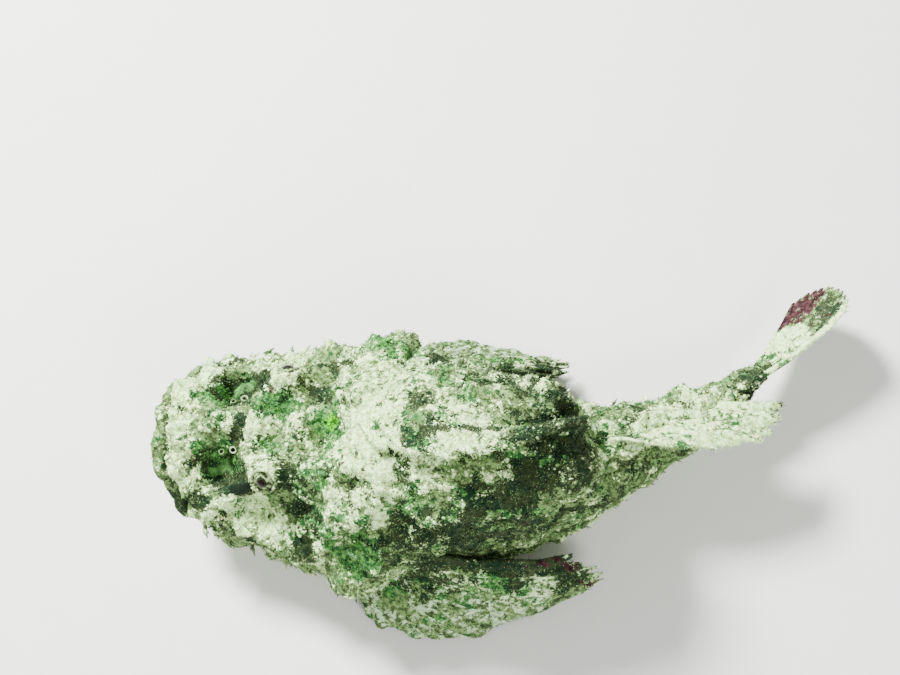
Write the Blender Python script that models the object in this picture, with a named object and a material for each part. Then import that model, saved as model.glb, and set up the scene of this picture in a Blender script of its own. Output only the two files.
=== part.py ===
"""A life-size model of a false stonefish resting on its belly, bent to its right, with folded dorsal fins.

Everything is first placed in fish space, in millimetres: the first number runs along the spine from the
snout, the second across to the fish's right, and the third up from the floor. pose() bends fish space
along the curved spine and gives metres in the row frame, with +Z up and the origin under the belly.
"""

import math
import random

import bmesh
import bpy
from mathutils import Matrix, Vector, noise

MM = 0.001
GAP = 0.35
FISH_LENGTH = 254.0
ORIGIN_ALONG = 88.0

# The spine's headings from +X as the fish lies, in degrees, at even steps from the snout.
HEADING_STEP = 30.0
HEADINGS = (-10.0, -10.0, -9.5, -5.0, 6.0, 18.5, 28.0, 38.0, 53.0, 60.0)
# The tail leans over to the fish's left, so that its top edge comes down on that side.
ROLL_START = 165.0
TAIL_ROLL = 40.0
ROLL_AXIS_HEIGHT = 18.5

# Stations down the fish: along, half width, height of the widest point, back, belly, squareness above, below.
STATIONS = (
    (4.0, 0.0, 29.0, 29.0, 29.0, 2.0, 2.0),
    (5.2, 9.3, 28.5, 34.5, 22.5, 2.1, 2.0),
    (7.8, 14.4, 27.0, 38.5, 17.5, 2.2, 2.0),
    (11.4, 18.2, 25.0, 42.0, 12.0, 2.3, 2.1),
    (16.4, 21.6, 22.5, 44.5, 7.0, 2.3, 2.2),
    (23.0, 25.8, 20.0, 46.5, 2.5, 2.3, 2.4),
    (32.0, 29.6, 18.5, 48.0, 0.0, 2.2, 2.6),
    (42.0, 33.0, 17.5, 49.5, -1.2, 2.1, 2.8),
    (52.0, 36.2, 17.5, 52.5, -1.5, 2.0, 2.9),
    (61.0, 39.0, 18.5, 57.5, -1.5, 2.0, 2.9),
    (69.0, 40.0, 20.0, 63.0, -1.5, 2.0, 2.8),
    (77.0, 38.8, 22.0, 68.5, -1.5, 2.0, 2.7),
    (86.0, 36.0, 24.0, 73.0, -1.5, 2.0, 2.6),
    (96.0, 33.2, 25.0, 75.0, -1.5, 2.05, 2.5),
    (108.0, 30.4, 26.0, 74.5, -1.5, 2.2, 2.4),
    (120.0, 27.2, 26.5, 71.0, -1.4, 2.4, 2.3),
    (131.0, 23.6, 25.5, 64.5, -0.5, 2.6, 2.2),
    (140.0, 20.0, 23.5, 55.0, 1.0, 2.6, 2.1),
    (149.0, 17.2, 21.5, 42.5, 3.5, 2.3, 2.0),
    (161.0, 14.4, 20.0, 36.0, 6.0, 2.1, 2.0),
    (176.0, 11.0, 19.0, 32.0, 8.0, 2.0, 2.0),
    (191.0, 8.0, 18.6, 29.0, 8.8, 2.0, 2.0),
    (203.0, 6.2, 18.5, 28.0, 9.2, 2.0, 2.0),
    (210.0, 4.2, 18.5, 27.4, 9.8, 2.0, 2.0),
    (213.5, 2.0, 18.5, 26.0, 11.2, 2.0, 2.0),
)
GILL_STATION = 11.0
STALK_STATION = 18.0
SIDES = 44
HEAD_RING_STEP = 4.4
TRUNK_RING_STEP = 5.8

# Swellings and hollows: centre, reach and push in fish space, and how flat the middle is. Both sides unless centred.
SWELLINGS = (
    ("orbit", (43.5, 15.5, 47.0), (8.5, 7.5, 12.0), (0.0, 2.6, 8.8), 1.0),
    ("brow ridge in front", (35.0, 10.5, 47.0), (6.0, 4.0, 10.0), (0.0, 0.5, 3.6), 1.0),
    ("trough between the eyes", (44.0, 0.0, 50.0), (11.0, 6.0, 12.0), (0.0, 0.0, -3.4), 1.0),
    ("crown pit", (57.5, 0.0, 54.0), (5.5, 9.0, 12.0), (0.0, 0.0, -5.0), 1.4),
    ("snout bump", (25.0, 0.0, 46.0), (7.0, 5.0, 10.0), (0.0, 0.0, 4.6), 1.3),
    ("brow lump in front", (37.5, 0.0, 48.0), (4.6, 4.4, 9.0), (0.0, 0.0, 3.6), 1.4),
    ("brow lump behind", (49.5, 0.0, 50.0), (5.6, 6.0, 9.0), (0.0, 0.0, 3.6), 1.4),
    ("pit before the eye", (25.5, 14.0, 44.0), (7.5, 6.8, 14.0), (0.5, -1.5, -10.5), 1.7),
    ("pit below the eye", (41.0, 25.5, 36.0), (7.5, 5.0, 10.0), (0.0, -4.0, -4.5), 1.3),
    ("upper lip roll", (9.0, 9.0, 42.0), (5.0, 12.0, 7.0), (-0.6, 0.6, 3.4), 1.3),
    ("upper lip side", (20.0, 23.5, 31.0), (9.0, 6.0, 7.5), (-0.4, 2.8, 1.6), 1.2),
    ("jaw bone paddle", (34.0, 30.0, 17.0), (5.5, 6.0, 8.0), (0.0, 2.4, 0.4), 1.3),
    ("cheek ridge in front", (36.0, 29.0, 29.0), (9.0, 5.0, 4.5), (0.0, 3.0, 1.6), 1.2),
    ("cheek ridge behind", (52.0, 34.0, 30.0), (8.0, 5.0, 4.5), (0.0, 3.2, 1.8), 1.2),
    ("hollow behind the eye", (57.0, 19.5, 47.0), (5.5, 6.5, 10.0), (0.0, -1.0, -4.6), 1.4),
    ("nape knob", (66.5, 12.5, 58.0), (5.0, 4.5, 9.0), (0.0, 0.6, 3.6), 1.1),
    ("temple knob", (66.0, 27.0, 47.0), (5.0, 5.0, 7.0), (0.0, 1.8, 2.4), 1.1),
    ("gill cover lobe", (73.0, 40.0, 26.0), (9.0, 8.0, 13.0), (1.0, 5.4, 0.8), 1.3),
    ("gill cover hollow", (60.0, 38.0, 20.0), (6.0, 7.0, 9.0), (0.0, -2.6, 0.0), 1.2),
    ("shoulder hollow", (84.0, 27.0, 57.0), (6.5, 6.5, 10.0), (0.0, -1.8, -2.4), 1.2),
    ("hump shoulder", (100.0, 21.0, 66.0), (17.0, 8.0, 12.0), (0.0, 1.8, 1.6), 1.3),
    ("hump end", (133.0, 12.0, 59.0), (9.0, 10.0, 10.0), (1.5, 2.2, 5.2), 1.4),
    ("dip behind the hump", (149.0, 0.0, 47.0), (5.5, 14.0, 9.0), (0.0, 0.0, -4.2), 1.3),
)
LUMP_SIZE = 11.0
LUMP_HEIGHT = 1.5
WART_SEED = 41
WART_COUNT = 150
WART_HEIGHT = (0.8, 2.3)
WART_REACH = (2.6, 4.4)

EYE_CENTRE = (43.8, 15.4, 50.6)
EYE_RADIUS = 5.0
EYE_GAZE = (-0.16, 0.76, 0.63)
LID_RADIUS = 6.4
LID_OPENING = 4.3

# The mouth is cut by a plane that slants back and down from the front of the snout.
MOUTH_FRONT = (7.2, 36.8)
MOUTH_CORNER = (43.0, 0.5)
JAW_SLIDE = 3.2
LIP_HEIGHT = 2.3
LIP_PLACE = 3.0
LIP_REACH = 2.0

SPINY_ROOTS = (72.0, 138.0)
SPINE_LENGTHS = (12.0, 18.0, 23.0, 25.0, 25.0, 24.0, 22.0, 20.0, 18.5, 17.0, 15.5, 14.5)
SPINE_RISE = 25.0
SPINE_LEAN = 52.0
SOFT_ROOTS = (151.0, 189.0)
SOFT_RAYS = 9
SOFT_TIPS = ((159.0, -6.0, 43.0), (172.0, -13.4, 39.5), (187.0, -18.3, 38.0), (200.0, -19.5, 37.0), (208.0, -11.0, 34.5))
SOFT_ARCH = 5.0
ANAL_ROOTS = (150.0, 180.0)
ANAL_LENGTHS = (11.0, 16.0, 19.0, 23.0, 25.0, 25.0, 23.0, 20.0)
CAUDAL_RAYS = 12
CAUDAL_ROOT = 207.0
CAUDAL_LENGTH = 48.0
CAUDAL_SPREAD = 10.5
CAUDAL_ROOT_SPREAD = 6.0
PECTORAL_RAYS = 17
PELVIC_RAYS = 6


def smoothstep(low, high, value):
    """0 below low, 1 above high, and smooth between."""
    t = min(1.0, max(0.0, (value - low) / (high - low)))
    return t * t * (3.0 - 2.0 * t)


def lerp(a, b, t):
    return a + (b - a) * t


def through(points, t):
    """A smooth curve through tuples of numbers, read at t from 0 to 1."""
    place = t * (len(points) - 1)
    i = min(int(place), len(points) - 2)
    f = place - i
    p1, p2 = points[i], points[i + 1]
    p0 = points[i - 1] if i > 0 else tuple(2 * a - b for a, b in zip(p1, p2))
    p3 = points[i + 2] if i + 2 < len(points) else tuple(2 * b - a for a, b in zip(p1, p2))
    return tuple(catmull(a, b, c, d, f) for a, b, c, d in zip(p0, p1, p2, p3))


def catmull(a, b, c, d, f):
    return 0.5 * (2 * b + (c - a) * f + (2 * a - 5 * b + 4 * c - d) * f**2 + (3 * b - a - 3 * c + d) * f**3)


def spine_table(step=0.5):
    """Place and heading of the spine at every step from a little before the snout to past the tail."""
    rows, x, y = [], 0.0, 0.0
    reach = HEADING_STEP * (len(HEADINGS) - 1)
    for i in range(int(reach / step) + 1):
        heading = math.radians(through([(h,) for h in HEADINGS], i * step / reach)[0])
        rows.append((x, y, heading))
        x += math.cos(heading) * step
        y += math.sin(heading) * step
    home = rows[int(ORIGIN_ALONG / step)]
    return [(a - home[0], b - home[1], h) for a, b, h in rows], step


SPINE, SPINE_STEP = spine_table()


def pose(p):
    """Fish space in millimetres to the row frame in metres."""
    along, across, height = p
    roll = math.radians(TAIL_ROLL) * smoothstep(ROLL_START, FISH_LENGTH, along)
    up = height - ROLL_AXIS_HEIGHT
    side = across * math.cos(roll) - up * math.sin(roll)
    height = ROLL_AXIS_HEIGHT + up * math.cos(roll) + across * math.sin(roll)
    place = max(0.0, along) / SPINE_STEP
    i = min(int(place), len(SPINE) - 2)
    x, y, heading = (lerp(a, b, place - i) for a, b in zip(SPINE[i], SPINE[i + 1]))
    ahead = min(0.0, along)
    x += ahead * math.cos(heading) - side * math.sin(heading)
    y += ahead * math.sin(heading) + side * math.cos(heading)
    return Vector((x, y, height)) * MM


def station(u):
    """The body's measures at station u, which may lie between two."""
    i = min(int(u), len(STATIONS) - 2)
    p1, p2 = STATIONS[i], STATIONS[i + 1]
    if i == 0:
        # The nose is round, so the stations before it mirror those behind it.
        p0 = (p2[0], -p2[1], 2 * p1[2] - p2[2], 2 * p1[3] - p2[3], 2 * p1[4] - p2[4], p2[5], p2[6])
    else:
        p0 = STATIONS[i - 1]
    p3 = STATIONS[min(i + 2, len(STATIONS) - 1)]
    return [catmull(a, b, c, d, u - i) for a, b, c, d in zip(p0, p1, p2, p3)]


def body_point(u, angle):
    """A point of the plain body. The angle runs from the back down the right side."""
    along, half, widest, back, belly, square_up, square_down = station(u)
    sine, cosine = math.sin(angle), math.cos(angle)
    square = square_up if cosine > 0 else square_down
    reach = back - widest if cosine > 0 else widest - belly
    across = math.copysign(half * abs(sine) ** (2.0 / square), sine)
    height = widest + math.copysign(reach * abs(cosine) ** (2.0 / square), cosine)
    return Vector((along, across, height))


def gill_line(u, angle):
    """Moves rings near the gill opening so that its edge bows back over the shoulder and forward below."""
    near = smoothstep(GILL_STATION - 3.5, GILL_STATION, u) * (1.0 - smoothstep(GILL_STATION, GILL_STATION + 3.0, u))
    low = max(0.0, -math.cos(angle))
    return u + near * (0.95 * abs(math.sin(angle)) ** 1.4 - 0.35 - 1.2 * low**2)


def swell(p):
    """Adds the swellings and hollows to a point of the plain body."""
    side = math.copysign(1.0, p.y)
    moved = p.copy()
    for _, centre, reach, push, flat in SWELLINGS:
        square = (
            ((p.x - centre[0]) / reach[0]) ** 2
            + ((abs(p.y) - centre[1]) / reach[1]) ** 2
            + ((p.z - centre[2]) / reach[2]) ** 2
        )
        if square < 6.0:
            weight = math.exp(-(square**flat))
            moved += Vector((push[0], side * push[1], push[2])) * weight
    return moved


def eye_place(side):
    """Centre of an eye and the way that it looks, in fish space."""
    centre = Vector((EYE_CENTRE[0], side * EYE_CENTRE[1], EYE_CENTRE[2]))
    gaze = Vector((EYE_GAZE[0], side * EYE_GAZE[1], EYE_GAZE[2])).normalized()
    return centre, gaze


def wrap_eye(p):
    """Draws the orbit's skin to a dome round the eye on the side that it looks to."""
    centre, gaze = eye_place(math.copysign(1.0, p.y))
    arm = p - centre
    distance = arm.length
    if distance > 3.0 * LID_RADIUS or distance < 1e-6:
        return p
    turn = math.degrees(arm.angle(gaze))
    keep = smoothstep(72.0, 125.0, turn)
    keep = max(keep, smoothstep(1.5 * LID_RADIUS, 2.6 * LID_RADIUS, distance))
    return centre + arm / distance * lerp(LID_RADIUS, distance, keep)


def mouth_distance(p):
    """Height above the mouth's plane, in millimetres."""
    run, drop = MOUTH_CORNER[0] - MOUTH_FRONT[0], MOUTH_FRONT[1] - MOUTH_CORNER[1]
    return ((p.x - MOUTH_FRONT[0]) * drop + (p.z - MOUTH_FRONT[1]) * run) / math.hypot(run, drop)


def wart_list():
    """Seeded places, heights and reaches of the larger warts."""
    draw = random.Random(WART_SEED)
    warts = []
    while len(warts) < WART_COUNT:
        u = draw.uniform(3.0, 21.0)
        angle = draw.choice((-1, 1)) * math.radians(draw.uniform(4.0, 112.0))
        place = swell(body_point(u, angle))
        size = draw.uniform(0.0, 1.0) ** 1.6
        eye = eye_place(math.copysign(1.0, place.y))[0]
        if (place - eye).length > 1.6 * LID_RADIUS:
            warts.append((place, lerp(*WART_HEIGHT, size), lerp(*WART_REACH, size)))
    return warts


WARTS = wart_list()


def skin_point(p, normal):
    """The finished skin over a point of the plain body, without the bend of the pose."""
    moved = swell(p)
    lumps = LUMP_HEIGHT * noise.noise(moved / LUMP_SIZE)
    lip = (abs(mouth_distance(moved)) - LIP_PLACE) / LIP_REACH
    lumps += LIP_HEIGHT * math.exp(-(lip**2)) * (1.0 - smoothstep(32.0, 40.0, moved.x))
    for place, height, reach in WARTS:
        gap = (moved - place).length
        if gap < 2.2 * reach:
            lumps += height * math.exp(-((gap / reach) ** 2))
    moved = wrap_eye(moved + normal * lumps)
    moved.z = max(moved.z, 0.0)
    return moved


def ring_places(first, last, step):
    """Stations of the rings between two stations, set about a step apart."""
    places = [first]
    for i in range(int(first), math.ceil(last)):
        low, high = max(first, i), min(last, i + 1)
        count = max(1, round((STATIONS[i + 1][0] - STATIONS[i][0]) * (high - low) / step))
        places += [lerp(low, high, (k + 1) / count) for k in range(count)]
    return places


def plain_tube(first, last, shift=0.0, inset=0.0):
    """A closed tube of the plain body between two stations. Its first ring may be set back and drawn in."""
    bm = bmesh.new()
    rings = []
    step = HEAD_RING_STEP if first == 0.0 else TRUNK_RING_STEP
    for n, u in enumerate(ring_places(first, last, step)):
        if u == 0.0:
            rings.append([bm.verts.new(body_point(0.0, 0.0))])
            continue
        points = [body_point(gill_line(u, 2 * math.pi * k / SIDES), 2 * math.pi * k / SIDES) for k in range(SIDES)]
        if n == 0:
            middle = sum(points, Vector()) / SIDES
            points = [p + (middle - p).normalized() * inset + Vector((shift, 0, 0)) for p in points]
        rings.append([bm.verts.new(p) for p in points])
    for near, far in zip(rings, rings[1:]):
        for k in range(SIDES):
            m = (k + 1) % SIDES
            if len(near) == 1:
                bm.faces.new((near[0], far[m], far[k]))
            else:
                bm.faces.new((near[k], near[m], far[m], far[k]))
    caps = []
    for ring in (rings[0], rings[-1]):
        if len(ring) > 1:
            middle = bm.verts.new(sum((v.co for v in ring), Vector()) / SIDES)
            caps += [bm.faces.new((ring[k], ring[(k + 1) % SIDES], middle)) for k in range(SIDES)]
    bmesh.ops.recalc_face_normals(bm, faces=bm.faces)
    return bm, [v.co.copy() for face in caps[::SIDES] for v in face.verts if len(v.link_faces) == SIDES]


def refine_face(bm):
    """Splits the long edges round the eyes, pits and lips, where the skin has small shapes."""
    spots = [(Vector((EYE_CENTRE[0], s * EYE_CENTRE[1], 46.0)), 11.0) for s in (-1, 1)]
    spots += [(Vector((26.0, s * 13.0, 43.0)), 10.5) for s in (-1, 1)]

    def wanted(edge):
        middle = (edge.verts[0].co + edge.verts[1].co) / 2
        if edge.calc_length() < 2.6:
            return False
        if middle.x < 34.0 and abs(mouth_distance(middle)) < LIP_PLACE + LIP_REACH:
            return True
        return any((middle - place).length < reach for place, reach in spots)

    chosen = [edge for edge in bm.edges if wanted(edge)]
    bmesh.ops.subdivide_edges(bm, edges=chosen, cuts=1, use_grid_fill=True)
    bmesh.ops.triangulate(bm, faces=[f for f in bm.faces if len(f.verts) > 4])


def make_flesh(name, first, last, shift=0.0, inset=0.0, grow=0.0):
    """A length of the fish's flesh as an object in the row frame, with its ends closed."""
    bm, places = plain_tube(first, last, shift, inset)
    if first == 0.0:
        refine_face(bm)
    bm.normal_update()
    middles = {v for v in bm.verts if any((v.co - place).length < 1e-6 for place in places)}
    rims = {v for middle in middles for face in middle.link_faces for v in face.verts}
    normals = {v: v.normal.copy() for v in bm.verts}
    for v in rims - middles:
        sides = [f.normal for f in v.link_faces if not middles & set(f.verts)]
        normals[v] = sum(sides, Vector()).normalized()
    for v in bm.verts:
        if v not in middles:
            v.co = skin_point(v.co, normals[v])
    for middle in middles:
        ring = [v.co for face in middle.link_faces for v in face.verts if v is not middle]
        middle.co = sum(ring, Vector()) / len(ring)
    for v in bm.verts:
        v.co = pose(v.co)
    bmesh.ops.triangulate(bm, faces=bm.faces)
    bmesh.ops.recalc_face_normals(bm, faces=bm.faces)
    if grow:
        bm.normal_update()
        for v in bm.verts:
            v.co += v.normal * grow * MM
    return new_object(name, bm)


def make_body(grow=0.0):
    """The head with its jaw, the torso and the tail stalk, as they are or grown to cut what stands on them."""
    return [
        make_flesh("head", 0.0, GILL_STATION, grow=grow),
        make_flesh("torso", GILL_STATION, STALK_STATION, shift=GAP, inset=0.9, grow=grow),
        make_flesh("tail_stalk", STALK_STATION, len(STATIONS) - 1.0, shift=GAP, grow=grow),
    ]


def new_object(name, bm):
    """Turns a bmesh into an object of the scene."""
    mesh = bpy.data.meshes.new(name)
    bm.to_mesh(mesh)
    bm.free()
    obj = bpy.data.objects.new(name, mesh)
    bpy.context.scene.collection.objects.link(obj)
    return obj


def boolean(obj, operation, others, solver="EXACT"):
    """Joins other objects to this one, or cuts them from it, and removes them."""
    group = bpy.data.collections.new("boolean_tools")
    bpy.context.scene.collection.children.link(group)
    for other in others:
        for old in list(other.users_collection):
            old.objects.unlink(other)
        group.objects.link(other)
    modifier = obj.modifiers.new(operation.lower(), "BOOLEAN")
    modifier.operation = operation
    modifier.operand_type = "COLLECTION"
    modifier.solver = solver
    modifier.collection = group
    bpy.context.view_layer.update()
    graph = bpy.context.evaluated_depsgraph_get()
    result = bpy.data.meshes.new_from_object(obj.evaluated_get(graph))
    obj.modifiers.clear()
    obj.data = result
    for other in others:
        bpy.data.objects.remove(other)
    bpy.data.collections.remove(group)
    keep_largest(obj)


def keep_largest(obj):
    """Keeps an object's largest closed surface."""
    bm = bmesh.new()
    bm.from_mesh(obj.data)
    bm.verts.ensure_lookup_table()
    seen, groups = set(), []
    for start in bm.verts:
        if start in seen:
            continue
        group, todo = [], [start]
        seen.add(start)
        while todo:
            v = todo.pop()
            group.append(v)
            for edge in v.link_edges:
                other = edge.other_vert(v)
                if other not in seen:
                    seen.add(other)
                    todo.append(other)
        groups.append(group)
    groups.sort(key=group_reach, reverse=True)
    bmesh.ops.delete(bm, geom=[v for group in groups[1:] for v in group], context="VERTS")
    bm.to_mesh(obj.data)
    bm.free()


def group_reach(group):
    """Diagonal of the box round a group of vertices."""
    low = Vector([min(v.co[i] for v in group) for i in range(3)])
    high = Vector([max(v.co[i] for v in group) for i in range(3)])
    return (high - low).length


def split_mouth(head):
    """Cuts the lower jaw from the head along the mouth's plane, and slides it forward to its underbite."""
    front = pose((MOUTH_FRONT[0], 0.0, MOUTH_FRONT[1]))
    corner = pose((MOUTH_CORNER[0], 0.0, MOUTH_CORNER[1]))
    slope = (front - corner).normalized()
    across = (pose((20.0, 10.0, 20.0)) - pose((20.0, -10.0, 20.0))).normalized()
    upward = slope.cross(across).normalized()
    upward *= math.copysign(1.0, upward.z)
    jaw = bpy.data.objects.new("lower_jaw", head.data.copy())
    bpy.context.scene.collection.objects.link(jaw)
    for obj, side in ((head, 1.0), (jaw, -1.0)):
        bm = bmesh.new()
        bm.from_mesh(obj.data)
        cut = bmesh.ops.bisect_plane(
            bm,
            geom=bm.verts[:] + bm.edges[:] + bm.faces[:],
            dist=1e-6,
            plane_co=front + upward * side * GAP * 0.5 * MM,
            plane_no=upward * side,
            clear_inner=True,
        )
        edges = [g for g in cut["geom_cut"] if isinstance(g, bmesh.types.BMEdge)]
        bmesh.ops.triangle_fill(bm, edges=edges, use_beauty=True)
        bmesh.ops.recalc_face_normals(bm, faces=bm.faces)
        if obj is jaw:
            bmesh.ops.translate(bm, verts=bm.verts, vec=slope * JAW_SLIDE * MM)
        bm.to_mesh(obj.data)
        bm.free()
        keep_largest(obj)
    return jaw


def turned_to(direction, place):
    """Matrix that stands a shape made along +Z at a place, pointing in a direction."""
    return Matrix.Translation(place) @ direction.to_track_quat("Z", "Y").to_matrix().to_4x4()


def ball(name, centre, radius, segments=20, rings=12, matrix=None):
    """A round body, by default at a centre in the row frame, in metres."""
    bm = bmesh.new()
    bmesh.ops.create_uvsphere(bm, u_segments=segments, v_segments=rings, radius=radius)
    bmesh.ops.transform(bm, matrix=matrix or Matrix.Translation(centre), verts=bm.verts)
    return new_object(name, bm)


def rod(name, place, direction, low, high, depth, sides=10):
    """A straight tapered rod that starts at a place and runs in a direction, in metres."""
    bm = bmesh.new()
    bmesh.ops.create_cone(
        bm, cap_ends=True, cap_tris=True, segments=sides, radius1=low, radius2=high, depth=depth
    )
    bmesh.ops.translate(bm, verts=bm.verts, vec=(0, 0, depth / 2))
    bmesh.ops.transform(bm, matrix=turned_to(direction, place), verts=bm.verts)
    return new_object(name, bm)


def posed_direction(p, direction):
    """A direction of fish space at a point, turned with the pose."""
    step = Vector(direction).normalized()
    return (pose(Vector(p) + step) - pose(Vector(p) - step)).normalized()


def cut_eye_sockets(head):
    """Opens the lids and hollows the sockets, and gives the two eyes."""
    eyes, cutters = [], []
    for side, name in ((-1, "eye_left"), (1, "eye_right")):
        centre, gaze = eye_place(side)
        place, look = pose(centre), posed_direction(centre, gaze)
        matrix = turned_to(look, place)
        cutters.append(ball("socket", None, (EYE_RADIUS + GAP) * MM, 24, 14, matrix))
        cutters.append(rod("lid_gap", place, look, 0.5 * MM, LID_OPENING * 1.15 * MM, LID_RADIUS * 1.5 * MM, 16))
        eyes.append(ball(name, None, EYE_RADIUS * MM, 14, 10, matrix))
    boolean(head, "DIFFERENCE", cutters)
    return eyes


def flap(root, direction, across, length, width, thick, curl=0.0):
    """A leaf-like tassel of skin in fish space: flat, widest past its root, with a pointed end."""
    out, side = Vector(direction).normalized(), Vector(across)
    side = (side - out * side.dot(out)).normalized()
    face = out.cross(side)
    bm = bmesh.new()
    rows = []
    for share, wide in ((-0.25, 0.75), (0.15, 0.8), (0.5, 1.0), (0.8, 0.62)):
        middle = Vector(root) + out * length * share + face * curl * length * max(0.0, share) ** 2
        half, deep = side * width * wide / 2, face * thick * (1.15 - 0.6 * max(0.0, share)) / 2
        rows.append([bm.verts.new(pose(middle + c)) for c in (half, deep, -half, -deep)])
    tip = bm.verts.new(pose(Vector(root) + out * length + face * curl * length))
    for near, far in zip(rows, rows[1:]):
        for k in range(4):
            m = (k + 1) % 4
            bm.faces.new((near[k], near[m], far[m], far[k]))
    for k in range(4):
        bm.faces.new((rows[-1][k], rows[-1][(k + 1) % 4], tip))
    bm.faces.new(rows[0][::-1])
    for v in bm.verts:
        v.co.z = max(v.co.z, 0.0004)
    bmesh.ops.triangulate(bm, faces=bm.faces)
    bmesh.ops.recalc_face_normals(bm, faces=bm.faces)
    return new_object("flap", bm)


def skin_place(u, angle):
    """Place and outward normal of the finished skin at a station and an angle in radians."""
    step = 0.02
    p = body_point(u, angle)
    outward = (body_point(u, angle + step) - p).cross(body_point(u + step, angle) - p).normalized()
    if outward.dot(p - Vector((p.x, 0.0, station(u)[2]))) < 0:
        outward = -outward
    return skin_point(p, outward), outward


def side_flaps(rows, seed):
    """Tassels on both sides at stations and angles, each with a length and a width."""
    draw = random.Random(seed)
    made = []
    for u, angle, length, width in rows:
        for side in (-1, 1):
            place, outward = skin_place(u + draw.uniform(-0.06, 0.06), math.radians(angle) * side)
            lean = Vector((draw.uniform(0.3, 0.9), 0.0, draw.uniform(-0.5, 0.1)))
            size = length * draw.uniform(0.8, 1.2)
            made.append(
                flap(place, outward + lean, (0.6, 0.0, 1.0), size, width, 1.0, draw.uniform(-0.2, 0.3))
            )
    return made


def fin_columns(rays, notch, web):
    """Ray columns with a thinner, shorter web column between each two."""
    columns = []
    for i, ray in enumerate(rays):
        columns.append(dict(ray, reach=1.0))
        if i + 1 < len(rays):
            after = rays[i + 1]
            between = {k: lerp(ray[k], after[k], 0.5) for k in ("root", "bend", "tip")}
            between.update(thick=(web, web * 0.8), reach=1.0 - notch)
            columns.append(between)
    return columns


def make_fin(name, rays, rows, notch, web=0.9, floor=True):
    """A fin of fish-space rays and webs as one closed sheet, split alike on both faces."""
    columns = fin_columns(rays, notch, web)
    middle, thick = [], []
    for column in columns:
        line, widths = [], []
        for k in range(rows + 1):
            t = k / rows * column["reach"]
            a, b, c = column["root"], column["bend"], column["tip"]
            line.append(pose(a * (1 - t) ** 2 + b * 2 * t * (1 - t) + c * t * t))
            widths.append(lerp(column["thick"][0], column["thick"][1], t) * MM)
        middle.append(line)
        thick.append(widths)
    last = len(columns) - 1
    faces = ([], [])
    bm = bmesh.new()
    for j in range(last + 1):
        upper, lower = [], []
        for k in range(rows + 1):
            along = middle[j][min(k + 1, rows)] - middle[j][max(k - 1, 0)]
            over = middle[min(j + 1, last)][k] - middle[max(j - 1, 0)][k]
            normal = along.cross(over).normalized() * thick[j][k] / 2
            centre = middle[j][k].copy()
            if floor:
                centre.z = max(centre.z, abs(normal.z))
            upper.append(bm.verts.new(centre + normal))
            lower.append(bm.verts.new(centre - normal))
        faces[0].append(upper)
        faces[1].append(lower)
    for sheet in faces:
        for j in range(last):
            for k in range(rows):
                a, b, c, d = sheet[j][k], sheet[j + 1][k], sheet[j + 1][k + 1], sheet[j][k + 1]
                bm.faces.new((a, b, c))
                bm.faces.new((a, c, d))
    rim = [(j, 0) for j in range(last)] + [(last, k) for k in range(rows)]
    rim += [(j, rows) for j in range(last, 0, -1)] + [(0, k) for k in range(rows, 0, -1)]
    for (j, k), (m, n) in zip(rim, rim[1:] + rim[:1]):
        bm.faces.new((faces[0][j][k], faces[0][m][n], faces[1][m][n], faces[1][j][k]))
    bmesh.ops.triangulate(bm, faces=[f for f in bm.faces if len(f.verts) > 3])
    bmesh.ops.recalc_face_normals(bm, faces=bm.faces)
    return new_object(name, bm)


def back_line(along):
    """Height of the finished back on the midline and its slope, at a distance from the snout."""
    low, high = 0.0, len(STATIONS) - 1.001
    for _ in range(40):
        middle = (low + high) / 2
        if station(middle)[0] < along:
            low = middle
        else:
            high = middle
    return swell(body_point(low, 0.0)).z, station(low)[4]


def spiny_dorsal_rays():
    """Spines in a row along the back, folded towards the tail and leaning to the fish's left."""
    rays = []
    for i, length in enumerate(SPINE_LENGTHS):
        along = lerp(*SPINY_ROOTS, i / (len(SPINE_LENGTHS) - 1))
        height = back_line(along)[0]
        up = math.radians(SPINE_RISE) + math.atan2(back_line(along + 6.0)[0] - height, 6.0)
        tilt = math.radians(SPINE_LEAN)
        way = Vector((math.cos(up), -math.sin(up) * math.sin(tilt), math.sin(up) * math.cos(tilt)))
        root = Vector((along, 0.0, height)) - way * 4.0
        tip = root + way * (length + 4.0)
        rays.append({"root": root, "bend": lerp(root, tip, 0.5), "tip": tip, "thick": (3.0, 1.4)})
    return rays


def soft_dorsal_rays():
    """Soft rays that rise from the stalk, bend over and fall to the fish's left."""
    rays = []
    for i in range(SOFT_RAYS):
        share = i / (SOFT_RAYS - 1)
        along = lerp(*SOFT_ROOTS, share)
        root = Vector((along - 2.0, 1.0, back_line(along)[0] - 4.0))
        tip = Vector(through(SOFT_TIPS, share))
        bend = lerp(root, tip, 0.45) + Vector((0.0, 0.5, SOFT_ARCH))
        rays.append({"root": root, "bend": bend, "tip": tip, "thick": (2.2, 1.2)})
    return rays


def caudal_rays():
    rays = []
    for i in range(CAUDAL_RAYS):
        share = i / (CAUDAL_RAYS - 1) * 2 - 1
        fan = math.radians(CAUDAL_SPREAD * share)
        length = CAUDAL_LENGTH * (1.0 - 0.16 * share**2)
        root = Vector((CAUDAL_ROOT, 0.0, ROLL_AXIS_HEIGHT + CAUDAL_ROOT_SPREAD * share))
        way = Vector((math.cos(fan), 0.0, math.sin(fan)))
        tip = root + way * length
        bend = root + way * length * 0.5 + Vector((2.0, 0.0, 2.0 * share))
        rays.append({"root": root, "bend": bend, "tip": tip, "thick": (3.0, 1.0)})
    return rays


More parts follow.
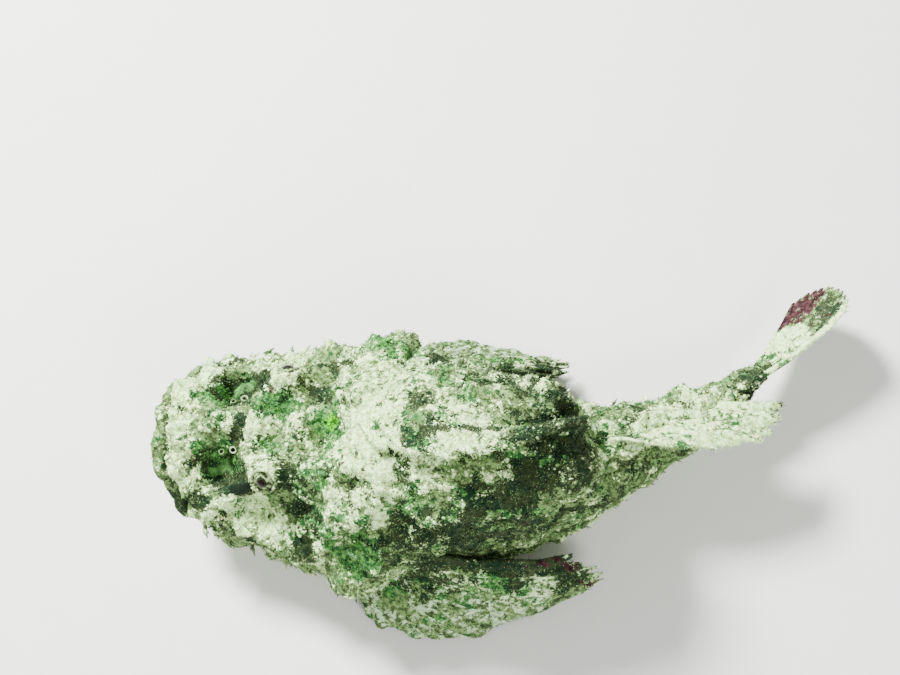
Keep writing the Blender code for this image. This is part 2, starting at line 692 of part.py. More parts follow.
def anal_rays():
    """The anal fin is folded back under the stalk, over to the fish's right, just off the floor."""
    rays = []
    for i, length in enumerate(ANAL_LENGTHS):
        share = i / (len(ANAL_LENGTHS) - 1)
        along = lerp(*ANAL_ROOTS, share)
        belly = back_line(along)[1]
        root = Vector((along - 2.0, 1.0, belly + 5.0))
        tip = Vector((along + length * 0.86, length * 0.42, 1.6 + 2.0 * share))
        bend = Vector((along + length * 0.2, 2.0, lerp(belly, 2.0, 0.6)))
        rays.append({"root": root, "bend": bend, "tip": tip, "thick": (2.4, 1.0)})
    return rays


# Roots, bends and tips of the pectoral fins from the top ray to the lowest, in fish space as on the right side.
# The right fin lies further back than the left one.
PECTORAL_ROOTS = ((84.0, 28.0, 40.0), (81.0, 30.0, 28.0), (76.0, 30.0, 18.0), (71.0, 29.0, 9.0))
PECTORAL_BENDS = {
    -1: (
        (104.0, 35.0, 41.0), (108.0, 40.5, 33.0), (107.0, 45.0, 25.0), (99.0, 48.0, 19.0),
        (90.0, 48.5, 15.0), (81.0, 45.5, 13.0), (74.0, 41.5, 11.0),
    ),
    1: (
        (108.0, 36.0, 38.0), (112.0, 41.5, 30.0), (111.0, 46.5, 22.0), (103.0, 50.0, 17.0),
        (93.0, 50.5, 14.0), (83.0, 47.5, 13.0), (75.0, 42.5, 11.0),
    ),
}
PECTORAL_TIPS = {
    -1: (
        (137.0, 30.0, 23.0), (143.5, 34.0, 13.0), (142.5, 38.5, 7.0), (128.0, 43.0, 3.0),
        (112.0, 48.5, 0.8), (99.0, 52.0, 0.8), (86.5, 50.0, 0.8), (77.0, 44.5, 0.8),
    ),
    1: (
        (148.0, 28.0, 13.0), (158.0, 33.0, 8.0), (158.0, 38.5, 5.0), (146.0, 44.0, 2.5),
        (128.0, 50.0, 1.0), (109.0, 54.5, 0.8), (92.0, 53.5, 0.8), (79.0, 47.0, 0.8),
    ),
}
PELVIC_ROOTS = ((78.0, 22.0, 3.5), (73.0, 22.0, 3.5))
PELVIC_BENDS = ((92.0, 34.0, 3.0), (86.0, 36.0, 3.5), (79.0, 33.0, 3.5))
PELVIC_TIPS = ((112.0, 36.0, 0.8), (106.0, 41.0, 0.8), (96.0, 42.0, 0.8), (84.0, 37.0, 0.8))


def fan_rays(count, roots, bends, tips, thick, side):
    """Rays that spread between smooth curves of roots, bends and tips."""
    rays = []
    for i in range(count):
        share = i / (count - 1)
        ray = {
            "root": Vector(through(roots, share)),
            "bend": Vector(through(bends, share)),
            "tip": Vector(through(tips, share)),
        }
        for point in ray.values():
            point.y *= side
        ray["thick"] = thick
        rays.append(ray)
    return rays


def make_fins():
    """All the fins, each cut to the body's skin where it grows from it."""
    fins = [
        make_fin("spiny_dorsal_fin", spiny_dorsal_rays(), 3, 0.3, 1.2),
        make_fin("soft_dorsal_fin", soft_dorsal_rays(), 4, 0.1),
        make_fin("caudal_fin", caudal_rays(), 5, 0.06),
        make_fin("anal_fin", anal_rays(), 4, 0.12),
    ]
    for side, word in ((-1, "left"), (1, "right")):
        bends, tips = PECTORAL_BENDS[side], PECTORAL_TIPS[side]
        pectoral = fan_rays(PECTORAL_RAYS, PECTORAL_ROOTS, bends, tips, (3.2, 1.5), side)
        fins.append(make_fin("pectoral_fin_" + word, pectoral, 5, 0.1, 1.0))
        pelvic = fan_rays(PELVIC_RAYS, PELVIC_ROOTS, PELVIC_BENDS, PELVIC_TIPS, (2.2, 1.2), side)
        fins.append(make_fin("pelvic_fin_" + word, pelvic, 4, 0.12))
    for fin in fins:
        boolean(fin, "DIFFERENCE", make_body(grow=GAP))
    return fins


# Tassels: station, angle from the back in degrees, length and width.
CHEEK_TASSELS = (
    (5.2, 78, 4.6, 3.6), (6.6, 86, 5.0, 4.0), (7.9, 80, 4.6, 3.6), (9.2, 84, 5.0, 4.0), (6.2, 24, 3.2, 2.6)
)
CHIN_TASSELS = (
    (2.6, 108, 4.4, 3.2), (3.6, 118, 4.8, 3.4), (4.4, 124, 4.8, 3.4), (2.2, 150, 4.0, 3.0), (3.2, 150, 4.4, 3.2)
)
TORSO_TASSELS = (
    (13.4, 66, 4.6, 3.6), (14.6, 60, 5.0, 4.0), (15.8, 62, 4.6, 3.6), (17.0, 66, 4.4, 3.4), (14.2, 44, 4.0, 3.4)
)
STALK_TASSELS = ((18.8, 72, 4.2, 3.2), (19.7, 76, 4.0, 3.0), (20.6, 78, 3.6, 2.8))


# Skull spines: station, angle from the back in degrees and length.
BARBS = (
    (6.9, 22, 3.6), (8.9, 20, 4.4), (9.9, 40, 4.4), (5.9, 72, 3.6), (7.1, 70, 4.0),
    (8.2, 82, 4.6), (8.5, 95, 4.6), (8.5, 108, 4.0), (10.3, 60, 4.6), (10.5, 76, 4.6),
)


def skull_spines():
    """Short spines on both sides of the skull that point back and out."""
    made = []
    for u, angle, length in BARBS:
        for side in (-1, 1):
            place, outward = skin_place(u, math.radians(angle) * side)
            way = (outward + Vector((1.3, 0.0, 0.15))).normalized()
            start = pose(place - way * 1.6)
            low, high, depth = 1.5 * MM, 0.3 * MM, (length + 1.6) * MM
            made.append(rod("barb", start, posed_direction(place, way), low, high, depth, 5))
    return made


def add_nostrils(head):
    """Two short open tubes on each side between the eye and the snout."""
    tubes, holes = [], []
    for side in (-1, 1):
        for along, across in ((24.5, 7.4), (30.0, 7.2)):
            place = swell(Vector((along, side * across, 46.5))) + Vector((0.0, 0.0, -1.2))
            up = posed_direction(place, (0.1, side * 0.35, 1.0))
            tubes.append(rod("tube", pose(place), up, 1.9 * MM, 1.3 * MM, 3.4 * MM, 8))
            holes.append(rod("hole", pose(place) + up * 2.4 * MM, up, 0.5 * MM, 0.8 * MM, 1.6 * MM, 6))
    boolean(head, "UNION", tubes)
    boolean(head, "DIFFERENCE", holes)


def paint(obj, colour, roughness):
    """Gives an object its own material and smooth shading with sharp cut edges."""
    material = bpy.data.materials.new(obj.name)
    material.use_nodes = True
    shader = material.node_tree.nodes["Principled BSDF"]
    shader.inputs["Base Color"].default_value = (*colour, 1.0)
    shader.inputs["Roughness"].default_value = roughness
    obj.data.materials.clear()
    obj.data.materials.append(material)
    obj.data.shade_smooth()
    obj.data.set_sharp_from_angle(angle=math.radians(50.0))


CREAM = (0.62, 0.60, 0.47)
MOSS = (0.17, 0.24, 0.13)
OLIVE = (0.36, 0.38, 0.27)
IRIS = (0.10, 0.09, 0.05)


def main():
    for obj in list(bpy.data.objects):
        bpy.data.objects.remove(obj)
    head, torso, stalk = make_body()
    jaw = split_mouth(head)
    eyes = cut_eye_sockets(head)
    add_nostrils(head)
    boolean(head, "UNION", side_flaps(CHEEK_TASSELS, 5) + skull_spines())
    boolean(torso, "UNION", side_flaps(TORSO_TASSELS, 7))
    boolean(stalk, "UNION", side_flaps(STALK_TASSELS, 9))
    boolean(jaw, "UNION", side_flaps(CHIN_TASSELS, 11))
    fins = make_fins()
    for obj in (head, jaw, torso):
        paint(obj, CREAM, 0.8)
    for obj in eyes:
        paint(obj, IRIS, 0.2)
    for obj in [stalk, *fins]:
        paint(obj, OLIVE, 0.75)
    paint(bpy.data.objects["spiny_dorsal_fin"], MOSS, 0.8)


main()
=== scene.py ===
"""The looks of a life-size still model of a false stonefish that rests on its belly.

Fish space is in millimetres: along the spine from the snout, across to the fish's right, and up from the
floor. pose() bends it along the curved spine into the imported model's frame, which is in metres.
"""

import math
import random

import bmesh
import bpy
import numpy as np
from mathutils import Matrix, Vector, noise


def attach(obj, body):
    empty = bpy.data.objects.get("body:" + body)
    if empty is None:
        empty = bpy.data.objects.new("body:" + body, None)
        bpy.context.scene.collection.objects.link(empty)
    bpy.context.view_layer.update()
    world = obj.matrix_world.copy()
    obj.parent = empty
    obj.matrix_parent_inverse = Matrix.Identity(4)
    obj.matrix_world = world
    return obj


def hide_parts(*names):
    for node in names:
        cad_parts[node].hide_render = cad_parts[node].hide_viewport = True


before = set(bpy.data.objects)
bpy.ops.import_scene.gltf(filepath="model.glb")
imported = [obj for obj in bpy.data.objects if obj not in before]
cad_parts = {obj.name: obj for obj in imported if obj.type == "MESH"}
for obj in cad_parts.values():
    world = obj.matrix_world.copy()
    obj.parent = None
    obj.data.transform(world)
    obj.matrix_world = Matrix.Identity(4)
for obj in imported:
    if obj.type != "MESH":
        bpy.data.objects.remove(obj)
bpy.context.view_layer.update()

bl_info = {
    "name": "False Stonefish Finish",
    "version": (1, 0, 0),
    "blender": (4, 5, 0),
    "location": "3D View > Sidebar > Stonefish",
    "description": "Skin, fins, eyes, crust, algae and stage of a life-size false stonefish",
    "category": "Object",
}

MM = 0.001
PIECE_LIMIT = 200000

# The fish's shape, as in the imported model.
FISH_LENGTH = 254.0
ORIGIN_ALONG = 88.0
HEADING_STEP = 30.0
HEADINGS = (-10.0, -10.0, -9.5, -5.0, 6.0, 18.5, 28.0, 38.0, 53.0, 60.0)
SPINE_STEP = 0.5
ROLL_START = 165.0
TAIL_ROLL = 40.0
ROLL_AXIS_HEIGHT = 18.5

# Stations down the fish: along, half width, height of the widest point, back, belly, squareness above, below.
STATIONS = (
    (4.0, 0.0, 29.0, 29.0, 29.0, 2.0, 2.0),
    (5.2, 9.3, 28.5, 34.5, 22.5, 2.1, 2.0),
    (7.8, 14.4, 27.0, 38.5, 17.5, 2.2, 2.0),
    (11.4, 18.2, 25.0, 42.0, 12.0, 2.3, 2.1),
    (16.4, 21.6, 22.5, 44.5, 7.0, 2.3, 2.2),
    (23.0, 25.8, 20.0, 46.5, 2.5, 2.3, 2.4),
    (32.0, 29.6, 18.5, 48.0, 0.0, 2.2, 2.6),
    (42.0, 33.0, 17.5, 49.5, -1.2, 2.1, 2.8),
    (52.0, 36.2, 17.5, 52.5, -1.5, 2.0, 2.9),
    (61.0, 39.0, 18.5, 57.5, -1.5, 2.0, 2.9),
    (69.0, 40.0, 20.0, 63.0, -1.5, 2.0, 2.8),
    (77.0, 38.8, 22.0, 68.5, -1.5, 2.0, 2.7),
    (86.0, 36.0, 24.0, 73.0, -1.5, 2.0, 2.6),
    (96.0, 33.2, 25.0, 75.0, -1.5, 2.05, 2.5),
    (108.0, 30.4, 26.0, 74.5, -1.5, 2.2, 2.4),
    (120.0, 27.2, 26.5, 71.0, -1.4, 2.4, 2.3),
    (131.0, 23.6, 25.5, 64.5, -0.5, 2.6, 2.2),
    (140.0, 20.0, 23.5, 55.0, 1.0, 2.6, 2.1),
    (149.0, 17.2, 21.5, 42.5, 3.5, 2.3, 2.0),
    (161.0, 14.4, 20.0, 36.0, 6.0, 2.1, 2.0),
    (176.0, 11.0, 19.0, 32.0, 8.0, 2.0, 2.0),
    (191.0, 8.0, 18.6, 29.0, 8.8, 2.0, 2.0),
    (203.0, 6.2, 18.5, 28.0, 9.2, 2.0, 2.0),
    (210.0, 4.2, 18.5, 27.4, 9.8, 2.0, 2.0),
    (213.5, 2.0, 18.5, 26.0, 11.2, 2.0, 2.0),
)
LAST_STATION = len(STATIONS) - 1.0
GILL_STATION = 11.0
GILL_STATION_LENGTH = 8.8
TAIL_CAP = (214.0, 0.0, 18.5)

# Swellings and hollows: centre, reach and push, and how flat the middle is. Both sides unless centred.
SWELLINGS = (
    ("orbit", (43.5, 15.5, 47.0), (8.5, 7.5, 12.0), (0.0, 2.6, 8.8), 1.0),
    ("brow ridge in front", (35.0, 10.5, 47.0), (6.0, 4.0, 10.0), (0.0, 0.5, 3.6), 1.0),
    ("trough between the eyes", (44.0, 0.0, 50.0), (11.0, 6.0, 12.0), (0.0, 0.0, -3.4), 1.0),
    ("crown pit", (57.5, 0.0, 54.0), (5.5, 9.0, 12.0), (0.0, 0.0, -5.0), 1.4),
    ("snout bump", (25.0, 0.0, 46.0), (7.0, 5.0, 10.0), (0.0, 0.0, 4.6), 1.3),
    ("brow lump in front", (37.5, 0.0, 48.0), (4.6, 4.4, 9.0), (0.0, 0.0, 3.6), 1.4),
    ("brow lump behind", (49.5, 0.0, 50.0), (5.6, 6.0, 9.0), (0.0, 0.0, 3.6), 1.4),
    ("pit before the eye", (25.5, 14.0, 44.0), (7.5, 6.8, 14.0), (0.5, -1.5, -10.5), 1.7),
    ("pit below the eye", (41.0, 25.5, 36.0), (7.5, 5.0, 10.0), (0.0, -4.0, -4.5), 1.3),
    ("upper lip roll", (9.0, 9.0, 42.0), (5.0, 12.0, 7.0), (-0.6, 0.6, 3.4), 1.3),
    ("upper lip side", (20.0, 23.5, 31.0), (9.0, 6.0, 7.5), (-0.4, 2.8, 1.6), 1.2),
    ("jaw bone paddle", (34.0, 30.0, 17.0), (5.5, 6.0, 8.0), (0.0, 2.4, 0.4), 1.3),
    ("cheek ridge in front", (36.0, 29.0, 29.0), (9.0, 5.0, 4.5), (0.0, 3.0, 1.6), 1.2),
    ("cheek ridge behind", (52.0, 34.0, 30.0), (8.0, 5.0, 4.5), (0.0, 3.2, 1.8), 1.2),
    ("hollow behind the eye", (57.0, 19.5, 47.0), (5.5, 6.5, 10.0), (0.0, -1.0, -4.6), 1.4),
    ("nape knob", (66.5, 12.5, 58.0), (5.0, 4.5, 9.0), (0.0, 0.6, 3.6), 1.1),
    ("temple knob", (66.0, 27.0, 47.0), (5.0, 5.0, 7.0), (0.0, 1.8, 2.4), 1.1),
    ("gill cover lobe", (73.0, 40.0, 26.0), (9.0, 8.0, 13.0), (1.0, 5.4, 0.8), 1.3),
    ("gill cover hollow", (60.0, 38.0, 20.0), (6.0, 7.0, 9.0), (0.0, -2.6, 0.0), 1.2),
    ("shoulder hollow", (84.0, 27.0, 57.0), (6.5, 6.5, 10.0), (0.0, -1.8, -2.4), 1.2),
    ("hump shoulder", (100.0, 21.0, 66.0), (17.0, 8.0, 12.0), (0.0, 1.8, 1.6), 1.3),
    ("hump end", (133.0, 12.0, 59.0), (9.0, 10.0, 10.0), (1.5, 2.2, 5.2), 1.4),
    ("dip behind the hump", (149.0, 0.0, 47.0), (5.5, 14.0, 9.0), (0.0, 0.0, -4.2), 1.3),
)
LUMP_SIZE = 11.0
LUMP_HEIGHT = 1.5
WART_SEED = 41
WART_COUNT = 150
WART_HEIGHT = (0.8, 2.3)
WART_REACH = (2.6, 4.4)

EYE_CENTRE = (43.8, 15.4, 50.6)
EYE_RADIUS = 5.0
EYE_GAZE = (-0.16, 0.76, 0.63)
LID_RADIUS = 6.4

MOUTH_FRONT = (7.2, 36.8)
MOUTH_CORNER = (43.0, 0.5)
JAW_SLIDE = 3.2
LIP_HEIGHT = 2.3
LIP_PLACE = 3.0
LIP_REACH = 2.0


def smooth(low, high, value):
    """0 below low, 1 above high, and smooth between."""
    t = np.clip((value - low) / (high - low), 0.0, 1.0)
    return t * t * (3.0 - 2.0 * t)


def fall(low, high, value):
    """1 below low, 0 above high, and smooth between."""
    return 1.0 - smooth(low, high, value)


def lerp(a, b, t):
    return a + (b - a) * t


def unit(vectors):
    """Rows of vectors at length 1."""
    return vectors / np.maximum(np.linalg.norm(vectors, axis=-1, keepdims=True), 1e-12)


def catmull(a, b, c, d, f):
    return 0.5 * (2 * b + (c - a) * f + (2 * a - 5 * b + 4 * c - d) * f**2 + (3 * b - a - 3 * c + d) * f**3)


def through(points, t):
    """A smooth curve through rows of numbers, read at an array of places from 0 to 1."""
    points = np.asarray(points, float)
    padded = np.vstack([2 * points[0] - points[1], points, 2 * points[-1] - points[-2]])
    place = np.clip(t, 0.0, 1.0) * (len(points) - 1)
    i = np.minimum(place.astype(int), len(points) - 2)
    return catmull(padded[i], padded[i + 1], padded[i + 2], padded[i + 3], (place - i)[:, None])


def spine_table():
    """Distances along the spine with its place and heading at each."""
    reach = HEADING_STEP * (len(HEADINGS) - 1)
    along = np.arange(0.0, reach + SPINE_STEP / 2, SPINE_STEP)
    heading = np.radians(through([(h,) for h in HEADINGS], along / reach)[:, 0])
    x = np.concatenate([[0.0], np.cumsum(np.cos(heading) * SPINE_STEP)[:-1]])
    y = np.concatenate([[0.0], np.cumsum(np.sin(heading) * SPINE_STEP)[:-1]])
    home = int(ORIGIN_ALONG / SPINE_STEP)
    return along, x - x[home], y - y[home], heading


SPINE = spine_table()


def pose(points):
    """Rows of fish space in millimetres to the model's frame in metres."""
    along, across, height = np.asarray(points, float).T
    roll = math.radians(TAIL_ROLL) * smooth(ROLL_START, FISH_LENGTH, along)
    up = height - ROLL_AXIS_HEIGHT
    side = across * np.cos(roll) - up * np.sin(roll)
    height = ROLL_AXIS_HEIGHT + up * np.cos(roll) + across * np.sin(roll)
    x, y, heading = (np.interp(along, SPINE[0], row) for row in SPINE[1:])
    ahead = np.minimum(0.0, along)
    x = x + ahead * np.cos(heading) - side * np.sin(heading)
    y = y + ahead * np.sin(heading) + side * np.cos(heading)
    return np.stack([x, y, height], axis=1) * MM


def posed_direction(points, directions):
    """Directions of fish space at points, turned with the pose."""
    step = unit(np.asarray(directions, float)) * 0.5
    return unit(pose(points + step) - pose(points - step))


def station(u):
    """The body's measures at stations u, which may lie between two."""
    rows = np.array(STATIONS)
    mirror = 2 * rows[0] - rows[1]
    mirror[[0, 5, 6]] = rows[1][[0, 5, 6]]
    mirror[1] = -rows[1][1]
    padded = np.vstack([mirror, rows, rows[-1]])
    i = np.clip(u.astype(int), 0, len(rows) - 2)
    return catmull(padded[i], padded[i + 1], padded[i + 2], padded[i + 3], (u - i)[:, None])


def body_points(u, angle):
    """Points of the plain body. The angle runs from the back down the right side."""
    along, half, widest, back, belly, square_up, square_down = station(u).T
    sine, cosine = np.sin(angle), np.cos(angle)
    square = np.where(cosine > 0, square_up, square_down)
    reach = np.where(cosine > 0, back - widest, widest - belly)
    across = half * np.sign(sine) * np.abs(sine) ** (2.0 / square)
    height = widest + reach * np.sign(cosine) * np.abs(cosine) ** (2.0 / square)
    points = np.stack([along, across, height], axis=1)
    points[u > LAST_STATION - 1e-6] = TAIL_CAP
    return points


def body_normals(u, angle):
    """Outward directions of the plain body."""
    step = 0.02
    u = np.clip(u, step, LAST_STATION - 2 * step)
    here = body_points(u, angle)
    turn = body_points(u, angle + step) - here
    run = body_points(u + step, angle) - here
    outward = unit(np.cross(turn, run))
    middle = np.stack([here[:, 0], np.zeros(len(u)), station(u)[:, 2]], axis=1)
    return outward * np.where((outward * (here - middle)).sum(1) < 0, -1.0, 1.0)[:, None]


def swell(points):
    """Adds the swellings and hollows to points of the plain body."""
    flip = np.ones(points.shape)
    flip[points[:, 1] < 0, 1] = -1.0
    moved = points.copy()
    for _, centre, reach, push, flat in SWELLINGS:
        square = (((points * flip - np.array(centre)) / np.array(reach)) ** 2).sum(1)
        weight = np.where(square < 6.0, np.exp(-np.minimum(square, 6.0) ** flat), 0.0)
        moved += flip * np.array(push) * weight[:, None]
    return moved


def eye_place(side):
    """Centre of an eye and the way that it looks, in fish space."""
    flip = np.array((1.0, side, 1.0))
    return np.array(EYE_CENTRE) * flip, unit(np.array(EYE_GAZE) * flip)


def mouth_distance(points):
    """Height above the mouth's plane, in millimetres."""
    return (points - np.array((MOUTH_FRONT[0], 0.0, MOUTH_FRONT[1]))) @ MOUTH_NORMAL


MOUTH_NORMAL = unit(np.array((MOUTH_FRONT[1] - MOUTH_CORNER[1], 0.0, MOUTH_CORNER[0] - MOUTH_FRONT[0])))
MOUTH_SLOPE = unit(np.array((MOUTH_FRONT[0] - MOUTH_CORNER[0], 0.0, MOUTH_FRONT[1] - MOUTH_CORNER[1])))


def wart_list():
    """Places, heights and reaches of the larger warts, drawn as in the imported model."""
    draw = random.Random(WART_SEED)
    rows = []
    for _ in range(2 * WART_COUNT):
        u = draw.uniform(3.0, 21.0)
        angle = draw.choice((-1, 1)) * math.radians(draw.uniform(4.0, 112.0))
        rows.append((u, angle, draw.uniform(0.0, 1.0) ** 1.6))
    u, angle, size = np.array(rows).T
    place = swell(body_points(u, angle))
    clear = np.ones(len(u), bool)
    for side in (-1, 1):
        clear &= np.linalg.norm(place - eye_place(side)[0], axis=1) > 1.6 * LID_RADIUS
    pick = np.flatnonzero(clear)[:WART_COUNT]
    return place[pick], lerp(*WART_HEIGHT, size[pick]), lerp(*WART_REACH, size[pick])


WARTS = wart_list()


def rough(points, size, seed=0.0):
    """Noise from -1 to 1 with lumps of a size in millimetres."""
    return np.array([noise.noise(p) for p in (points / size + seed).tolist()])


def cells(points, size, seed=0.0):
    """Round cells of a size in millimetres: 1 at a cell's middle and 0 at its edge."""
    near = np.array([noise.voronoi(p)[0][0] for p in (points / size + seed).tolist()])
    return np.clip(1.0 - near * 1.6, 0.0, 1.0)


# Markings on the body. For each kind: how much of the skin it covers where nothing is listed, how ragged the
# edges of its patches are, the seed of its noise, and its patches. A patch is given by its distance along in
# millimetres, its angle from the back in degrees with the fish's left negative, its reach along, its reach in
# angle, and its strength.
MARKS = {
    "white": (0.42, 0.5, 3.1, (
        (9, 0, 6, 62, 0.75), (14, -44, 6, 20, 0.65), (14, 44, 6, 24, 0.6), (26.5, 0, 4, 7, 0.35),
        (36.5, -2, 5, 10, 0.6), (49.5, 0, 5, 9, 0.45), (40, -21, 7, 8, 0.75), (40, 26, 8, 11, 0.7),
        (41.5, -57, 11, 10, 0.95), (29, -61, 6, 8, 0.55), (35, 58, 11, 12, 0.5), (73, 0, 10, 20, 0.7),
        (78, 0, 15, 26, 0.4), (98, 2, 16, 17, 0.48), (74, -36, 11, 16, 0.36), (72, 36, 14, 20, 0.36),
        (79, 50, 9, 12, 0.3), (160, 0, 12, 32, 0.42), (187, -6, 24, 45, 0.55), (62, -70, 1.4, 16, 0.8),
        # (158, -58) takes white off the left flank of the tail stalk: painted shade.
        (158, -58, 20, 26, -0.3), (25, -30, 9, 14, -0.45), (25, 26, 8.5, 16, -0.45),
        (125, -10, 14, 36, -0.16), (112, -60, 27, 26, -0.32), (52, -28, 5, 10, -0.3),
        (50, -44, 9, 7, -0.25), (88, 2.5, 10.5, 27, 0.34), (88, 2.5, 6.6, 17, -1.3),
        # (93, 64) and (33.5, 31) take white out of painted shade: by the rear edge of the shoulder lobe and
        # beside the knob in the right pit.
        (36, -52, 7, 6, 0.55), (205, 0, 10, 180, -0.35), (93, 64, 7, 14, -0.4), (33.5, 31, 3.2, 12, -0.5),
    )),
    "green": (0.24, 0.55, 17.4, (
        (23, -25, 8, 12, 0.62), (23.5, 28, 8.5, 15, 0.78), (42, 11, 8, 6, 0.75), (41, -10, 7, 5, 0.3),
        (59.5, -2, 5.5, 22, 0.38), (58.5, 7, 4, 7, 0.35), (58, -46, 7, 18, 0.25), (74, -62, 9, 12, 0.55),
        (66, -42, 8, 12, 0.22), (97, -40, 16, 12, 0.35), (100, 30, 12, 8, 0.32), (63, 30, 7, 12, 0.25),
        (116, -60, 20, 16, 0.2), (73, 58, 8, 14, 0.5), (190, 62, 26, 13, 0.55), (124, -14, 12, 20, 0.22),
        # (27.5, -28) here and (23.5, -34) below paint the pale streak in the left pit: green skin, made paler
        # as a painted highlight where light falls.
        (88, 2.5, 6.6, 17, 0.34), (148, 10, 8, 30, 0.22), (27.5, 33, 4, 8, 0.9), (27.5, -28, 5, 9, 0.6),
        (23.5, -34, 5, 9, 0.6),
    )),
    "dark": (0.12, 0.45, 41.7, (
        (88, 2.5, 6.8, 17.5, 0.6), (88, 2.5, 3.6, 9, -0.34), (102, -1.5, 10, 2.2, 0.75),
        (127, -5, 12, 27, 0.52), (100, -50, 19, 13, 0.45), (117, -34, 14, 15, 0.45),
        (137.5, 0, 4, 60, 0.45), (108, -70, 30, 14, 0.42), (118, 42, 24, 15, 0.36),
        (112, 68, 30, 14, 0.32), (158, -60, 20, 24, 0.14), (25, -30, 9, 13, 0.5),
        # (31, -38) is painted shade in the hollow between the left pit and the eye.
        (31, -38, 8.5, 10, 0.95), (25, 28, 8, 14, 0.36), (28.5, 23, 5, 12, 0.75), (24, 41, 8, 4, 0.55),
        (52, -25, 6, 10, 0.72), (55, 24, 4.5, 8, 0.6), (44, -43, 9, 4, 0.4), (41, -57, 13, 14, -0.45),
        (9, 0, 6, 62, -0.25), (44, 44, 8, 6, 0.35), (56, -64, 5, 10, 0.4), (22, -62, 4.5, 7, 0.45),
        (36, -77, 12, 8, 0.45), (22, 62, 4.5, 7, 0.4), (57.5, -52, 4.5, 18, 0.4),
        (57.5, 54, 4.5, 16, 0.3), (9.8, 7, 1.8, 6, 0.7), (30.5, -4, 2.2, 10, 0.85),
        (149.5, 3, 2.4, 6, 0.5), (207, -20, 8, 90, 0.72), (17, -86, 14, 4, 0.5), (17, 86, 14, 4, 0.5),
        # (93, 64) and (33.5, 31) are painted shade: along the rear edge of the shoulder lobe, and the knob's
        # shadow in the right pit. (27, -27) on this line and (24, -34) on the next clear the dark from the
        # painted highlight in the left pit.
        (93, 64, 6, 13, 0.6), (27.5, 33, 3.6, 7, -0.9), (33.5, 31, 3.2, 12, 0.9), (27, -27, 3, 6, -0.7),
        (24, -34, 3, 6, -0.5),
    )),
    "rust": (0.03, 0.4, 60.2, ((116, -62, 18, 6, 0.22), (118, 60, 20, 6, 0.2), (95, -48, 4, 5, 0.18))),
    "vivid": (-0.1, 0.35, 77.9, (
        # (24, -24) is a painted highlight in the left pit.
        (59.5, 6.5, 2.8, 5.5, 0.66), (61, 0, 5, 12, 0.14), (24, -24, 5, 8, 0.2), (23, 24, 5, 8, 0.26),
    )),
    "bare": (0.0, 0.2, 90.3, (
        (88, 2.5, 6.8, 17, 0.3), (73, 1, 8, 15, 0.85), (98, 3, 13, 13, 0.45), (27.5, 33, 3.4, 7, 0.9),
        # (27.5, -27) and (24, -34) keep the painted highlight in the left pit smooth and bare of growth.
        (27.5, -27, 3.6, 7, 0.8), (24, -34, 3.6, 7, 0.8),
    )),
}


def ragged(kind, bias, points):
    """Turns the share that a marking covers into a mask with uneven edges, which the materials break up."""
    _, uneven, seed, _ = MARKS[kind]
    lace = 0.5 * rough(points, 8.0, seed) + 0.6 * rough(points, 3.8, seed + 5)
    lace += 0.4 * rough(points, 1.9, seed + 9)
    return np.clip(bias + uneven * lace, 0.0, 1.0)


def body_marks(along, angle, points):
    """The masks of the markings on the body."""
    degrees = np.degrees(angle)
    low = smooth(95.0, 140.0, np.abs(degrees))
    masks = {}
    for kind, (base, _, _, patches) in MARKS.items():
        bias = np.full(len(along), base)
        for s, a, reach, turn, strength in patches:
            square = ((along - s) / reach) ** 2 + ((degrees - a) / turn) ** 2
            bias += strength * np.exp(-np.minimum(square, 9.0) ** 1.5)
        if kind == "white":
            bias += 0.2 * low
        else:
            bias *= 1.0 - 0.75 * low
        masks[kind] = ragged(kind, bias, points)
    return masks


def number_verts(bm):
    """Numbers the vertices, so that each finds its row of values again after some are merged."""
    order = bm.verts.layers.int.new("order")
    for i, v in enumerate(bm.verts):
        v[order] = i


def build(name, bm, carried=None):
    """Turns a bmesh into an object that rides with the body. Rows in carried become the mesh's attributes."""
    order = bm.verts.layers.int.get("order")
    bmesh.ops.recalc_face_normals(bm, faces=bm.faces)
    mesh = bpy.data.meshes.new(name)
    bm.to_mesh(mesh)
    if order is not None:
        rows = np.empty(len(mesh.vertices), np.int32)
        mesh.attributes["order"].data.foreach_get("value", rows)
        for layer in ("order", "station", "angle"):
            if layer in mesh.attributes:
                mesh.attributes.remove(mesh.attributes[layer])
        carry(mesh, {key: values[rows] for key, values in (carried or {}).items()})
    bm.free()
    return finish_piece(name, mesh)


def carry(mesh, fields):
    """Writes rows of numbers to a mesh as attributes of its points."""
    for key, values in fields.items():
        values = np.asarray(values, np.float32)
        if values.ndim == 1:
            mesh.attributes.new(key, "FLOAT", "POINT").data.foreach_set("value", values)
        elif values.shape[1] == 3:
            mesh.attributes.new(key, "FLOAT_VECTOR", "POINT").data.foreach_set("vector", values.ravel())
        else:
            mesh.attributes.new(key, "FLOAT_COLOR", "POINT").data.foreach_set("color", values.ravel())


def finish_piece(name, mesh):
    """Links a mesh to the scene, checks its size and sets its shading."""
    triangles = len(mesh.loops) - 2 * len(mesh.polygons)
    if not 0 < triangles < PIECE_LIMIT:
        raise ValueError(f"{name} has {triangles} triangles")
    mesh.shade_smooth()
    obj = bpy.data.objects.new(name, mesh)
    bpy.context.scene.collection.objects.link(obj)
    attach(obj, "root")
    return obj


def place_verts(bm, points):
    """Moves all of a bmesh's vertices to rows of places."""
    for v, co in zip(bm.verts, points.tolist()):
        v.co = co


def marks_of(masks):
    """Masks as the two colour attributes that the materials read."""
    zero = np.zeros(len(masks["white"]))
    marks = np.stack([masks["white"], masks["green"], masks["dark"], masks["rust"]], axis=1)
    shade_mask, cool = masks.get("shade", zero), zero + masks.get("cool", 0.0)
    more = np.stack([masks["vivid"], shade_mask, masks["bare"], cool], axis=1)
    return {"marks": marks, "more": more}


